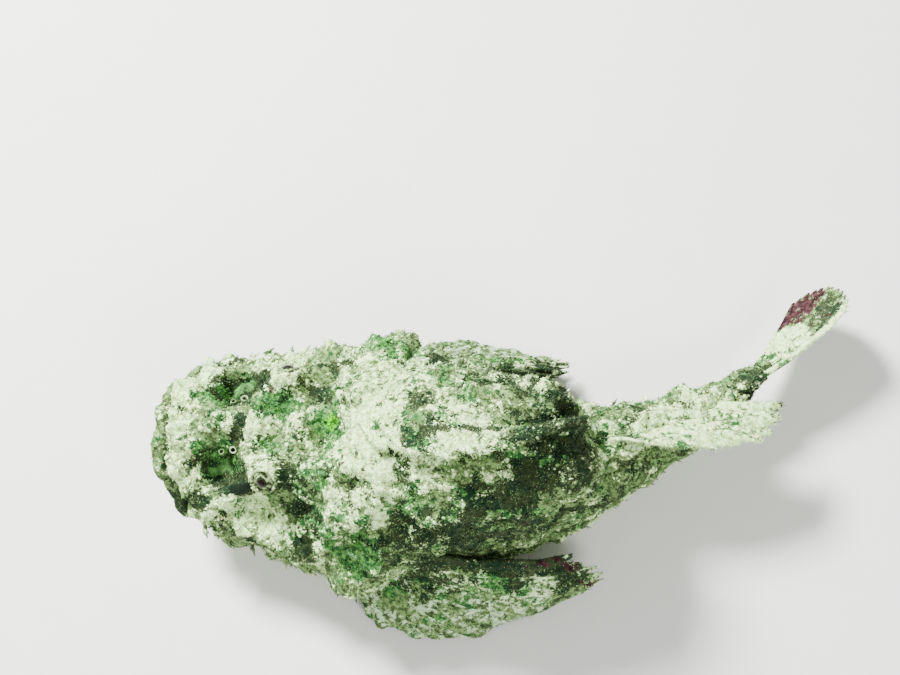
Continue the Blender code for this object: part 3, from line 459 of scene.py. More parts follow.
# The skin's grid: how its rows are shared between stations, and its columns between angles.
SKIN_ROWS = 330
SKIN_COLUMNS = 250
ROW_SHARES = ((0.0, 0.08, 0.25, 0.55, 0.83, 1.0), (0.0, 2.0, 6.0, 11.0, 18.0, LAST_STATION))
COLUMN_SHARES = ((-1.0, -0.8, 0.8, 1.0), (-180.0, -115.0, 115.0, 180.0))
FINE_SPOTS = ((42.5, 19.5, 50.0, 8.5), (27.0, 7.3, 48.0, 5.0))
FINE_BAND = 2.6
MOUTH_LOOPS = (-1.1, -0.3, 0.3, 1.1)
GROOVE_DEPTH = 4.6
LID_TURN = 40.0
LID_THICKNESS = 0.6
KNOT_HEIGHT = 2.9
LIP_NODULE = 1.8
# Painted shade in the hollow between the left pit and eye, and on the knob in the right pit: along, angle,
# reaches and shade.
PIT_SHADES = ((33.5, -41.0, 5.0, 6.0, 0.85), (27.0, 32.0, 3.0, 5.6, 0.56))
# Single lumps on the right: the smooth knob in the pit before the eye, then the broad lobe of the shoulder.
# Each has its station, its angle in radians, its height and its reach.
SINGLE_LUMPS = ((5.5, 0.56, 3.4, 2.7), (11.5, 1.45, 3.8, 9.0), (12.6, 1.25, 3.0, 6.5))


def skin_layers(bm):
    """The station and angle that each vertex of the skin stands for."""
    station_layer, angle_layer = bm.verts.layers.float["station"], bm.verts.layers.float["angle"]
    u = np.array([v[station_layer] for v in bm.verts])
    angle = np.array([v[angle_layer] for v in bm.verts])
    return np.clip(u, 0.0, LAST_STATION), angle


def skin_grid():
    """A sheet of stations and angles, denser on the head and the back, and finest at the eyes and lips."""
    bm = bmesh.new()
    bmesh.ops.create_grid(bm, x_segments=SKIN_ROWS, y_segments=SKIN_COLUMNS, size=1.0)
    station_layer = bm.verts.layers.float.new("station")
    angle_layer = bm.verts.layers.float.new("angle")
    for v in bm.verts:
        v[station_layer] = np.interp((v.co.x + 1.0) / 2.0, *ROW_SHARES)
        v[angle_layer] = math.radians(np.interp(v.co.y, *COLUMN_SHARES))
    u, angle = skin_layers(bm)
    points = swell(body_points(u, angle))
    folded = np.stack([points[:, 0], np.abs(points[:, 1]), points[:, 2]], axis=1)
    fine = np.zeros(len(points), bool)
    for x, y, z, reach in FINE_SPOTS:
        fine |= np.linalg.norm(folded - np.array((x, y, z)), axis=1) < reach
    fine |= (np.abs(mouth_distance(points)) < FINE_BAND) & (points[:, 0] < 30.0) & (u > 0.5)
    bm.verts.index_update()
    edges = [e for e in bm.edges if fine[e.verts[0].index] and fine[e.verts[1].index]]
    bmesh.ops.subdivide_edges(bm, edges=edges, cuts=1, use_grid_fill=True)
    return bm


def cut_mouth_loops(bm):
    """Adds clean loops of edges along both lips."""
    u, angle = skin_layers(bm)
    place_verts(bm, swell(body_points(u, angle)))
    front = Vector((MOUTH_FRONT[0], 0.0, MOUTH_FRONT[1]))
    normal = Vector(MOUTH_NORMAL)
    for level in MOUTH_LOOPS:
        faces = [f for f in bm.faces if f.calc_center_median().x < 37.0]
        geom = list({v for f in faces for v in f.verts}) + list({e for f in faces for e in f.edges}) + faces
        bmesh.ops.bisect_plane(bm, geom=geom, dist=1e-4, plane_co=front + normal * level, plane_no=normal)
    bmesh.ops.triangulate(bm, faces=bm.faces)


def gill_distance(u, angle):
    """Millimetres behind the gill cover's edge, which bows back over the shoulder."""
    low = np.maximum(0.0, -np.cos(angle))
    edge = GILL_STATION + 0.95 * np.abs(np.sin(angle)) ** 1.4 - 0.35 - 1.2 * low**2
    return (u - edge) * GILL_STATION_LENGTH


def bumps(x, middle, reach):
    return np.exp(-(((x - middle) / reach) ** 2))


def close_lids(points):
    """Draws the skin to a dome round each eye, opens the lids and sinks a pocket for the eye."""
    moved = points.copy()
    for side in (-1, 1):
        centre, gaze = eye_place(side)
        arm = points - centre
        distance = np.linalg.norm(arm, axis=1)
        near = (distance < 3.0 * LID_RADIUS) & (points[:, 1] * side > 0)
        way = arm[near] / np.maximum(distance[near], 1e-6)[:, None]
        turn = np.degrees(np.arccos(np.clip(way @ gaze, -1, 1)))
        keep = smooth(72.0, 125.0, turn)
        keep = np.maximum(keep, smooth(1.5 * LID_RADIUS, 2.6 * LID_RADIUS, distance[near]))
        dome = way * LID_RADIUS
        ragged_turn = LID_TURN + 3.0 * rough(dome, 3.0, 9.0) + 1.5 * rough(dome, 1.1, 4.0)
        lid = EYE_RADIUS + LID_THICKNESS + 0.45 * bumps(turn, ragged_turn + 7.0, 5.0)
        crust = 0.8 * rough(points[near], 2.2, 30.0) + 0.9 * cells(points[near], 3.4, 3.0)
        lid += crust * smooth(44.0, 62.0, turn)
        lid += 0.35 * bumps(turn, ragged_turn + 20.0, 4.0)
        lid = lerp(EYE_RADIUS - 1.2, lid, smooth(-2.5, 2.5, turn - ragged_turn))
        moved[near] = centre + way * lerp(lid, distance[near], keep)[:, None]
    return moved


def eye_turn(points):
    """Degrees away from the nearer eye's gaze, or 180 far from both eyes."""
    turn = np.full(len(points), 180.0)
    for side in (-1, 1):
        centre, gaze = eye_place(side)
        arm = points - centre
        near = np.linalg.norm(arm, axis=1) < 1.35 * LID_RADIUS
        turn[near] = np.degrees(np.arccos(np.clip(unit(arm[near]) @ gaze, -1, 1)))
    return turn


def crust_relief(points, masks):
    """The crust's height in millimetres, and how far each point stands on a knot or sinks between knots."""
    knots = 0.75 * cells(points, 6.0, 7.0) + 0.35 * cells(points, 3.0, 21.0)
    knots = knots + 0.3 * rough(points, 3.8, 12.0) - 0.4
    knots *= 1.0 - 0.8 * masks["bare"]
    height = KNOT_HEIGHT * lerp(0.55, 1.0, masks["white"]) * knots
    height += 0.3 * cells(points, 1.4, 33.0) + 0.18 * rough(points, 0.9, 3.0)
    return height, knots


def finished_skin(u, angle, depth):
    """Places of the render's skin in fish space, with its masks."""
    plain = body_points(u, angle)
    normal = body_normals(u, angle)
    moved = swell(plain)
    degrees = np.degrees(np.abs(angle))
    masks = body_marks(plain[:, 0], angle, moved)
    lumps = LUMP_HEIGHT * rough(moved, LUMP_SIZE)
    height = mouth_distance(moved)
    fade = fall(30.0, 39.0, moved[:, 0])
    lumps += LIP_HEIGHT * bumps(np.abs(height), LIP_PLACE, LIP_REACH) * fall(32.0, 40.0, moved[:, 0])
    warts = list(zip(*WARTS))
    for place_u, place_angle, rise, reach in SINGLE_LUMPS:
        warts.append((swell(body_points(np.array([place_u]), np.array([place_angle])))[0], rise, reach))
    for place, rise, reach in warts:
        gap = np.linalg.norm(moved - place, axis=1)
        lumps += np.where(gap < 2.2 * reach, rise * np.exp(-((gap / reach) ** 2)), 0.0)
    gill = gill_distance(u, angle) + 1.6 * rough(moved, 9.0, 8.0)
    beside = smooth(42.0, 62.0, degrees) * fall(128.0, 150.0, degrees)
    lumps += beside * (0.9 * bumps(gill, -2.2, 1.6) - 1.5 * bumps(gill, 0.6, 0.9))
    lip_band = fade * smooth(0.8, 2.6, height) * fall(9.0, 14.0, height) * fall(22.0, 30.0, moved[:, 0])
    lumps += LIP_NODULE * lip_band * (cells(moved, 4.6, 51.0) - 0.4)
    calm = smooth(LID_TURN + 4.0, LID_TURN + 30.0, eye_turn(moved))
    relief, knots = crust_relief(moved, masks)
    above = fall(118.0, 150.0, degrees)
    lumps += (relief * lerp(0.3, 1.0, above) * calm) - depth * lerp(0.1, 1.0, above)
    lumps -= GROOVE_DEPTH * fade * fall(0.2, 1.2, np.abs(height))
    lower_lip = fade * bumps(height, -2.6, 2.2) * fall(14.0, 24.0, moved[:, 0])
    masks["white"] = np.clip(masks["white"] + 0.9 * knots - 0.5 * lower_lip, 0.0, 1.0)
    masks["dark"] = np.clip(masks["dark"] - 0.6 * knots, 0.0, 1.0)
    masks["bare"] = np.clip(masks["bare"] + 0.8 * lower_lip, 0.0, 1.0)
    # Painted shade: the shade mask darkens the mouth groove and the groove behind the gill cover's edge.
    masks["shade"] = np.maximum(fade * fall(0.4, 1.5, np.abs(height)), 0.6 * beside * bumps(gill, 0.6, 1.0))
    moved = close_lids(moved + normal * lumps[:, None])
    moved += MOUTH_SLOPE * (JAW_SLIDE * fade * (height < 0.0))[:, None]
    # Painted shade over the lid margins and in the pockets that the eyes sit in.
    lids = fall(LID_TURN - 1.0, LID_TURN + 5.0, eye_turn(moved))
    masks["shade"] = np.maximum(masks["shade"], lids)
    # Painted shade in the hollow by the left eye and on the knob in the right pit.
    for along, turn, reach, spread, deep in PIT_SHADES:
        square = ((plain[:, 0] - along) / reach) ** 2 + ((np.degrees(angle) - turn) / spread) ** 2
        masks["shade"] = np.maximum(masks["shade"], deep * np.exp(-(square**2)))
    moved[:, 2] = np.maximum(moved[:, 2], 0.03)
    return moved, masks


def unwrap_places(across, along):
    """Places on an unwrap of a surface's own shape, kept a little inside its border."""
    return np.stack([0.01 + 0.98 * along, 0.01 + 0.98 * across, np.zeros(len(along))], axis=1)


def skin_unwrap(u, angle):
    return unwrap_places(angle / (2 * math.pi) + 0.5, u / LAST_STATION)


def make_skin(sizes):
    """The skin over the whole trunk, folded from a flat sheet and closed along its edges."""
    bm = skin_grid()
    cut_mouth_loops(bm)
    u, angle = skin_layers(bm)
    points, masks = finished_skin(u, angle, sizes.skin_depth / MM)
    number_verts(bm)
    place_verts(bm, pose(points))
    bmesh.ops.remove_doubles(bm, verts=bm.verts, dist=1e-6)
    fields = marks_of(masks)
    fields["fish"] = points
    fields["lie"] = posed_direction(points, (1.0, 0.0, 0.0))
    fields["unwrap"] = skin_unwrap(u, angle)
    fields["reach"] = np.zeros(len(u))
    return build("skin", bm, fields)


def turned_to(directions):
    """Side, front and up directions of frames whose up runs along rows of directions."""
    up = unit(directions)
    guide = np.where(np.abs(up[:, 2:]) < 0.95, np.array([(0.0, 0.0, 1.0)]), np.array([(1.0, 0.0, 0.0)]))
    side = unit(np.cross(guide, up))
    return side, np.cross(up, side), up


CORNEA_TURN = 30.0
CORNEA_RISE = 0.45
EYE_SEGMENTS = 72
EYE_RINGS = 56


def make_eye(side, name):
    """An eyeball with a slightly raised cornea. Its pole looks along the gaze."""
    centre, gaze = eye_place(side)
    home = pose([centre])[0]
    look = posed_direction(np.array([centre]), [gaze])
    right, front, up = (row[0] for row in turned_to(look))
    bm = bmesh.new()
    bmesh.ops.create_uvsphere(bm, u_segments=EYE_SEGMENTS, v_segments=EYE_RINGS, radius=1.0)
    number_verts(bm)
    ways = np.array([v.co[:] for v in bm.verts])
    turn = np.degrees(np.arccos(np.clip(ways[:, 2], -1, 1)))
    spin = np.arctan2(ways[:, 1], ways[:, 0])
    radius = EYE_RADIUS + CORNEA_RISE * np.clip(1.0 - (turn / CORNEA_TURN) ** 2, 0.0, 1.0)
    world = home + (ways @ np.stack([right, front, up])) * radius[:, None] * MM
    place_verts(bm, world)
    iris = np.stack([np.cos(spin), np.sin(spin), turn / 90.0], axis=1)
    return build(name, bm, {"iris": iris, "turn": turn})


# Nostril tubes: along, across, height, outer radius, length and how pale the rim is.
NOSTRILS = ((25.6, 8.4, 46.5, 0.85, 2.9, 0.12), (30.2, 7.8, 46.5, 1.1, 3.2, 0.42))
NOSTRIL_ROUGHNESS = 0.32
# A tube's outline from its foot, over the rim and down its bore: shares of the radius and of the length.
NOSTRIL_PROFILE = (
    (1.35, -0.35), (1.08, 0.15), (0.96, 0.6), (1.05, 0.92),
    (0.96, 1.0), (0.74, 0.95), (0.58, 0.6), (0.0, 0.2),
)
NOSTRIL_BORE_START = 6
NOSTRIL_STEPS = 22


def make_nostrils():
    """Four short open tubes on the snout, each turned from its profile."""
    bm = bmesh.new()
    bore_shade_layer = bm.verts.layers.float.new("inside")
    pale_layer = bm.verts.layers.float.new("pale")
    for side in (-1, 1):
        for along, across, high, radius, length, pale in NOSTRILS:
            foot = swell(np.array([(along, side * across, high)])) + np.array([(0.0, 0.0, -2.0)])
            right, front, up = (row[0] for row in turned_to(posed_direction(foot, [(0.1, side * 0.35, 1.0)])))
            home = Vector(pose(foot)[0])
            ring = []
            for wide, rise in NOSTRIL_PROFILE:
                offset = Vector(right) * wide * radius * MM + Vector(up) * rise * length * MM
                ring.append(bm.verts.new(home + offset))
                ring[-1][pale_layer] = pale * smooth(0.4, 0.95, rise)
            for k, v in enumerate(ring):
                v[bore_shade_layer] = 1.0 if k >= NOSTRIL_BORE_START else 0.0
            edges = [bm.edges.new(pair) for pair in zip(ring, ring[1:])]
            bmesh.ops.spin(
                bm, geom=ring + edges, cent=home, axis=Vector(up),
                angle=2 * math.pi, steps=NOSTRIL_STEPS, use_merge=True,
            )
    bmesh.ops.remove_doubles(bm, verts=bm.verts, dist=1e-6)
    places = np.array([v.co[:] for v in bm.verts])
    shift = np.stack([rough(places / MM, 1.3, seed) for seed in (2.0, 12.0, 22.0)], axis=1)
    place_verts(bm, places + NOSTRIL_ROUGHNESS * MM * shift)
    return build("nostrils", bm)


SPINY_ROOTS = (72.0, 138.0)
SPINE_LENGTHS = (12.0, 18.0, 23.0, 25.0, 25.0, 24.0, 22.0, 20.0, 18.5, 17.0, 15.5, 14.5)
SPINE_RISE = 25.0
SPINE_LEAN = 52.0
SOFT_ROOTS = (151.0, 189.0)
SOFT_RAYS = 9
SOFT_TIPS = (
    (159.0, -6.0, 43.0), (172.0, -13.4, 39.5), (187.0, -18.3, 38.0),
    (200.0, -19.5, 37.0), (208.0, -11.0, 34.5),
)
SOFT_ARCH = 5.0
ANAL_ROOTS = (150.0, 180.0)
ANAL_LENGTHS = (11.0, 16.0, 19.0, 23.0, 25.0, 25.0, 23.0, 20.0)
CAUDAL_RAYS = 12
CAUDAL_ROOT = 207.0
CAUDAL_LENGTH = 48.0
CAUDAL_SPREAD = 10.5
CAUDAL_ROOT_SPREAD = 6.0
PECTORAL_RAYS = 17
PELVIC_RAYS = 6
PECTORAL_ROOTS = ((84.0, 28.0, 40.0), (81.0, 30.0, 28.0), (76.0, 30.0, 18.0), (71.0, 29.0, 9.0))
PECTORAL_BENDS = {
    -1: (
        (104.0, 35.0, 41.0), (108.0, 40.5, 33.0), (107.0, 45.0, 25.0), (99.0, 48.0, 19.0),
        (90.0, 48.5, 15.0), (81.0, 45.5, 13.0), (74.0, 41.5, 11.0),
    ),
    1: (
        (108.0, 36.0, 38.0), (112.0, 41.5, 30.0), (111.0, 46.5, 22.0), (103.0, 50.0, 17.0),
        (93.0, 50.5, 14.0), (83.0, 47.5, 13.0), (75.0, 42.5, 11.0),
    ),
}
PECTORAL_TIPS = {
    -1: (
        (137.0, 30.0, 23.0), (143.5, 34.0, 13.0), (142.5, 38.5, 7.0), (128.0, 43.0, 3.0),
        (112.0, 48.5, 0.8), (99.0, 52.0, 0.8), (86.5, 50.0, 0.8), (77.0, 44.5, 0.8),
    ),
    1: (
        (148.0, 28.0, 13.0), (158.0, 33.0, 8.0), (158.0, 38.5, 5.0), (146.0, 44.0, 2.5),
        (128.0, 50.0, 1.0), (109.0, 54.5, 0.8), (92.0, 53.5, 0.8), (79.0, 47.0, 0.8),
    ),
}
PELVIC_ROOTS = ((78.0, 22.0, 3.5), (73.0, 22.0, 3.5))
PELVIC_BENDS = ((92.0, 34.0, 3.0), (86.0, 36.0, 3.5), (79.0, 33.0, 3.5))
PELVIC_TIPS = ((112.0, 36.0, 0.8), (106.0, 41.0, 0.8), (96.0, 42.0, 0.8), (84.0, 37.0, 0.8))
# The hump's half width, the height of its widest point and the rise from there to the back.
HUMP_HALF = (33.0, 25.0, 50.0)


def back_line(along):
    """Heights of the finished back and of the belly on the midline, at distances from the snout."""
    u = np.interp(along, [row[0] for row in STATIONS], np.arange(len(STATIONS)))
    for _ in range(6):
        u = np.clip(u + (along - station(u)[:, 0]) / 9.0, 0.0, LAST_STATION - 1e-3)
    return swell(body_points(u, np.zeros(len(u))))[:, 2], station(u)[:, 4]


def spiny_dorsal_rays():
    """Roots, bends and tips of the dorsal spines, folded towards the tail and leaning to the fish's left."""
    length = np.array(SPINE_LENGTHS)
    along = np.linspace(*SPINY_ROOTS, len(length))
    height, tilt = back_line(along)[0], math.radians(SPINE_LEAN)
    up = math.radians(SPINE_RISE) + np.arctan2(back_line(along + 6.0)[0] - height, 6.0)
    way = np.stack([np.cos(up), -np.sin(up) * math.sin(tilt), np.sin(up) * math.cos(tilt)], axis=1)
    root = np.stack([along, 0 * along, height], axis=1) - way * 4.0
    tip = root + way * (length + 4.0)[:, None]
    return root, (root + tip) / 2, tip


def soft_dorsal_rays():
    share = np.linspace(0.0, 1.0, SOFT_RAYS)
    along = lerp(*SOFT_ROOTS, share)
    root = np.stack([along - 2.0, 0 * along + 1.0, back_line(along)[0] - 4.0], axis=1)
    tip = through(SOFT_TIPS, share)
    return root, lerp(root, tip, 0.45) + np.array((0.0, 0.5, SOFT_ARCH)), tip


def caudal_rays():
    share = np.linspace(-1.0, 1.0, CAUDAL_RAYS)
    fan = np.radians(CAUDAL_SPREAD * share)
    length = CAUDAL_LENGTH * (1.0 - 0.16 * share**2)
    zero = 0 * share
    root = np.stack([zero + CAUDAL_ROOT, zero, ROLL_AXIS_HEIGHT + CAUDAL_ROOT_SPREAD * share], axis=1)
    way = np.stack([np.cos(fan), zero, np.sin(fan)], axis=1)
    tip = root + way * length[:, None]
    return root, (root + tip) / 2 + np.stack([zero + 2.0, zero, 2.0 * share], axis=1), tip


def anal_rays():
    length = np.array(ANAL_LENGTHS)
    share = np.linspace(0.0, 1.0, len(length))
    along = lerp(*ANAL_ROOTS, share)
    belly = back_line(along)[1]
    root = np.stack([along - 2.0, 0 * along + 1.0, belly + 5.0], axis=1)
    tip = np.stack([along + length * 0.86, length * 0.42, 1.6 + 2.0 * share], axis=1)
    bend = np.stack([along + length * 0.2, 0 * along + 2.0, lerp(belly, 2.0, 0.6)], axis=1)
    return root, bend, tip


def fan_rays(count, roots, bends, tips, side):
    """Rays that spread between smooth curves of roots, bends and tips."""
    share = np.linspace(0.0, 1.0, count)
    return tuple(through(row, share) * np.array((1.0, side, 1.0)) for row in (roots, bends, tips))


def fin_middle(rays, q, t):
    """Places on a fin's middle sheet, at ray numbers q, also between rays, and shares t of their length."""
    i = np.clip(np.floor(q).astype(int), 0, len(rays[0]) - 2)
    root, bend, tip = (lerp(row[i], row[i + 1], (q - i)[:, None]) for row in rays)
    t = t[:, None]
    return root * (1 - t) ** 2 + bend * 2 * t * (1 - t) + tip * t * t


# The sheet's reach past its outer rays, and a ray's half width, as shares of the gap between two rays.
FIN_EDGE = 0.16
RAY_WIDTH = 0.13
WEB_STEPS = 8
RAY_JOINTS = 34
# How far the edge comes and goes, broadly and finely, as shares of a ray's length.
FIN_WAVER = 0.06
FIN_FRAY = 0.02
FIN_FLOOR_GAP = 0.00008


def line_noise(x, line):
    """Noise from -1 to 1 along one of many lines."""
    return rough(np.stack([x, 0 * x + line, 0 * x], axis=1), 1.0)


def make_fin(name, rays, form, marks):
    """A fin as one closed sheet, with ridged rays that branch, thin sinking webs and a notched edge."""
    across = WEB_STEPS * (len(rays[0]) - 1) + 4
    bm = bmesh.new()
    bmesh.ops.create_grid(bm, x_segments=2 * across, y_segments=form["rows"], size=1.0)
    number_verts(bm)
    sheet = np.array([v.co[:] for v in bm.verts]) / 2.0 + 0.5
    upper = np.where(sheet[:, 0] < 0.5, 1.0, -1.0)
    e = 1.0 - np.abs(1.0 - 2.0 * sheet[:, 0])
    span = len(rays[0]) - 1 + 2 * FIN_EDGE
    q = e * span - FIN_EDGE
    t = sheet[:, 1]
    frac = np.abs(q - np.round(q))
    web = np.sin(math.pi * np.clip(q - np.floor(q), 0, 1)) ** 2
    low = smooth(0.5, 1.0, np.clip(q / (len(rays[0]) - 1), 0, 1))
    notch = lerp(form["notch"], form.get("low_notch", form["notch"]), low)
    deep = 1.0 + 0.9 * line_noise(np.floor(q) * 3.7, 0.0)
    reach = 1.0 - notch * (2 * frac) ** 3 * deep
    worn = form.get("worn", 1.0)
    reach -= FIN_WAVER * worn * (1.0 + line_noise(q * 0.7, 5.0))
    reach -= FIN_FRAY * worn * (1.0 + line_noise(q * 3.1, 9.0))
    run = t * reach
    middle = fin_middle(rays, q, run)
    step = 0.02
    along = unit(pose(fin_middle(rays, q, run + step)) - pose(fin_middle(rays, q, run - step)))
    over = unit(pose(fin_middle(rays, q + step, run)) - pose(fin_middle(rays, q - step, run)))
    normal = unit(np.cross(along, over))
    split = form["branch"] * smooth(0.45, 0.85, run)
    stem = 1.0 - smooth(0.4, 0.6, run) * (form["branch"] > 0)
    ridge = np.maximum(bumps(frac, split, RAY_WIDTH), bumps(frac, 0.0, RAY_WIDTH) * stem)
    ridge *= 1.0 + 0.14 * np.sin(2 * math.pi * RAY_JOINTS * run)
    ray = lerp(form["thick"][0], form["thick"][1], run)
    thick = form["web"] + np.maximum(ray - form["web"], 0.0) * ridge
    rim = np.minimum(e, 1.0 - e) * span / FIN_EDGE
    thick = thick * np.sqrt(np.clip(1.0 - (1.0 - np.minimum(rim, 1.0)) ** 2, 0, 1))
    thick *= np.sqrt(np.clip(1.0 - smooth(0.93, 1.0, t), 0, 1)) * smooth(0.0, 0.02, t)
    thick += 0.25 * form["web"] * cells(middle, 1.6, 5.0) * (t > 0.01) * (t < 0.97) * np.minimum(rim, 1.0)
    pleat = -form["pleat"] * web * smooth(0.05, 0.4, run) * (0.7 + 0.5 * np.sin(np.floor(q) * 2.3))
    pleat *= 1.0 + form.get("ruffle", 0.0) * low * smooth(0.5, 0.95, run)
    pleat += form.get("wave", 0.5) * rough(middle, 8.0, 14.0) * smooth(0.05, 0.3, run)
    ghost = thick[:, None] / 2 * normal * upper[:, None] * MM
    world = pose(middle) + normal * pleat[:, None] * MM + ghost
    world[:, 2] = np.maximum(world[:, 2], FIN_FLOOR_GAP + np.clip(ghost[:, 2], 0, None))
    masks = marks(q / (len(rays[0]) - 1), run, middle, ridge)
    place_verts(bm, world)
    bmesh.ops.remove_doubles(bm, verts=bm.verts, dist=1e-6)
    bmesh.ops.dissolve_degenerate(bm, edges=bm.edges, dist=1e-7)
    bmesh.ops.triangulate(bm, faces=bm.faces)
    fields = marks_of(masks)
    fields.update(fish=middle, lie=along, unwrap=unwrap_places(sheet[:, 0], t), reach=run)
    return build(name, bm, fields)


def fin_masks(kinds, points):
    """Masks from the shares that the named kinds cover, with the others left out."""
    return {kind: ragged(kind, kinds.get(kind, np.full(len(points), -1.0)), points) for kind in MARKS}


def caudal_marks(share, t, points, ridge):
    """A dark base, a broad cream band, then purple above and dark speckles below, with pale margins."""
    outer = smooth(0.52, 0.64, t + 0.15 * rough(points, 11.0, 70.0))
    upper = fall(0.3, 0.55, share)
    margin = smooth(0.86, 0.95, share)
    masks = fin_masks({
        "white": 0.72 - 0.7 * bumps(t, 0.1, 0.11) - 0.42 * outer + 0.6 * margin + 0.2 * smooth(0.95, 0.99, t),
        "dark": 0.06 + 0.95 * bumps(t, 0.1, 0.1) + outer * (0.52 - 0.3 * upper) - 0.6 * margin,
        "rust": outer * (0.30 + 0.42 * upper) - 0.5 * margin - 0.04,
        "green": 0.16 + 0.4 * bumps(t, 0.24, 0.06) - 0.1 * outer,
    }, points)
    masks["cool"] = 0.75 * outer * (1.0 - margin)
    return masks


def soft_dorsal_marks(share, t, points, ridge):
    return fin_masks({
        "white": 0.72 - 0.4 * smooth(0.88, 1.0, t) * smooth(0.6, 0.9, share) + 0.12 * smooth(0.4, 0.9, t),
        "rust": 0.75 * smooth(0.76, 0.95, t) * smooth(0.78, 0.95, share) - 0.05,
        "green": 0.30 + 0.2 * bumps(share, 0.25, 0.2),
        "dark": 0.8 * bumps(share, 0.1, 0.06) * bumps(t, 0.35, 0.2) + 0.08 + 0.25 * bumps(share, 0.0, 0.08),
    }, points)


def spiny_dorsal_marks(share, t, points, ridge):
    """The body's own markings, which run on over the folded fin."""
    angle = np.arctan2(points[:, 1] / HUMP_HALF[0], (points[:, 2] - HUMP_HALF[1]) / HUMP_HALF[2])
    masks = body_marks(points[:, 0], angle, points)
    masks["dark"] = np.clip(masks["dark"] + 0.2 * (1.0 - ridge) * smooth(0.2, 0.6, t), 0.0, 1.0)
    masks["bare"] *= 0.0
    return masks


def pectoral_marks(share, t, points, ridge):
    """Mottled grey and white, with banded hind rays and a scalloped pale edge below, under painted light and
    shade.
    """
    rear = fall(0.22, 0.42, share)
    # Lighter on the rays and darker on the sunken webs between them, towards the edge: painted light and shade
    # of the pleats.
    crest = np.cos(2 * math.pi * share * (PECTORAL_RAYS - 1))
    streak = crest * smooth(0.4, 0.7, t) * np.clip(0.5 + rough(points, 11.0, 80.0), 0.0, 1.0)
    streak *= lerp(0.8, 1.0, rear)
    # A dark, red-brown strip along the top ray, next to the body: painted shade of the gap, over the fin's
    # red-brown tint.
    gap_shade_and_red = fall(0.02, 0.12, share)
    band = 0.5 + 0.5 * np.cos(2 * math.pi * (t * 4.0 + 0.3 + 0.15 * rough(points, 14.0, 50.0)))
    # Darker and greener towards the root: painted shadow of the body.
    upper = fall(0.12, 0.5, t)
    masks = fin_masks({
        "white": (
            0.44 - 0.2 * upper + rear * (0.5 * band - 0.25) * smooth(0.4, 0.6, t)
            + 0.3 * smooth(0.86, 0.98, t) + 0.24 * streak
        ),
        "dark": (
            0.32 - 0.12 * share + rear * 0.4 * (1 - band) * smooth(0.45, 0.6, t)
            + 0.35 * upper - 0.26 * streak + 0.5 * gap_shade_and_red
        ),
        "green": 0.24 + rear * 0.45 * bumps(t, 0.55, 0.14) + 0.2 * upper,
        "rust": -0.02 + rear * 0.3 * bumps(t, 0.84, 0.06) + 0.24 * gap_shade_and_red,
    }, points)
    # The cool slate tint is partly the side fins' own blue-grey and partly the painted cool cast of shade.
    masks["cool"] = 0.8 - 0.6 * rear
    return masks


def low_fin_marks(share, t, points, ridge):
    return fin_masks({
        "white": 0.5 - 0.3 * bumps(t, 0.72, 0.12),
        "dark": 0.2 + 0.4 * bumps(t, 0.72, 0.14),
        "rust": 0.02 + 0.4 * bumps(t, 0.85, 0.06),
        "green": 0.25 * np.ones(len(t)),
    }, points)


def fin_plans():
    """Each fin's name, rays, markings and form.

    A form gives the sheet's rows, the notch between rays as a share of their length, a ray's thickness at
    its root and tip, the web's thickness, how far a ray's branches part, and the depth of the pleats and
    waves. What it leaves out is as make_fin has it.
    """
    plans = [
        ("spiny_dorsal_fin", spiny_dorsal_rays(), spiny_dorsal_marks, dict(
            rows=34, notch=0.2, thick=(2.8, 1.5), web=1.2, branch=0.0, pleat=0.5, wave=1.2)),
        ("soft_dorsal_fin", soft_dorsal_rays(), soft_dorsal_marks, dict(
            rows=40, notch=0.1, thick=(2.0, 0.7), web=0.55, branch=0.2, pleat=0.8)),
        ("caudal_fin", caudal_rays(), caudal_marks, dict(
            rows=72, notch=0.04, thick=(2.4, 0.6), web=0.5, branch=0.2, pleat=0.25, wave=0.7, worn=0.3)),
        ("anal_fin", anal_rays(), low_fin_marks, dict(
            rows=30, notch=0.12, thick=(2.0, 0.7), web=0.5, branch=0.16, pleat=0.5)),
    ]
    for side, word in ((-1, "left"), (1, "right")):
        rays = fan_rays(PECTORAL_RAYS, PECTORAL_ROOTS, PECTORAL_BENDS[side], PECTORAL_TIPS[side], side)
        plans.append(("pectoral_fin_" + word, rays, pectoral_marks, dict(
            rows=70, notch=0.05, low_notch=0.06, thick=(2.8, 1.3), web=0.6, branch=0.17, pleat=1.5, wave=1.0,
            ruffle=0.8)))
        rays = fan_rays(PELVIC_RAYS, PELVIC_ROOTS, PELVIC_BENDS, PELVIC_TIPS, side)
        plans.append(("pelvic_fin_" + word, rays, low_fin_marks, dict(
            rows=30, notch=0.12, thick=(2.0, 0.9), web=0.6, branch=0.16, pleat=0.4)))
    return plans


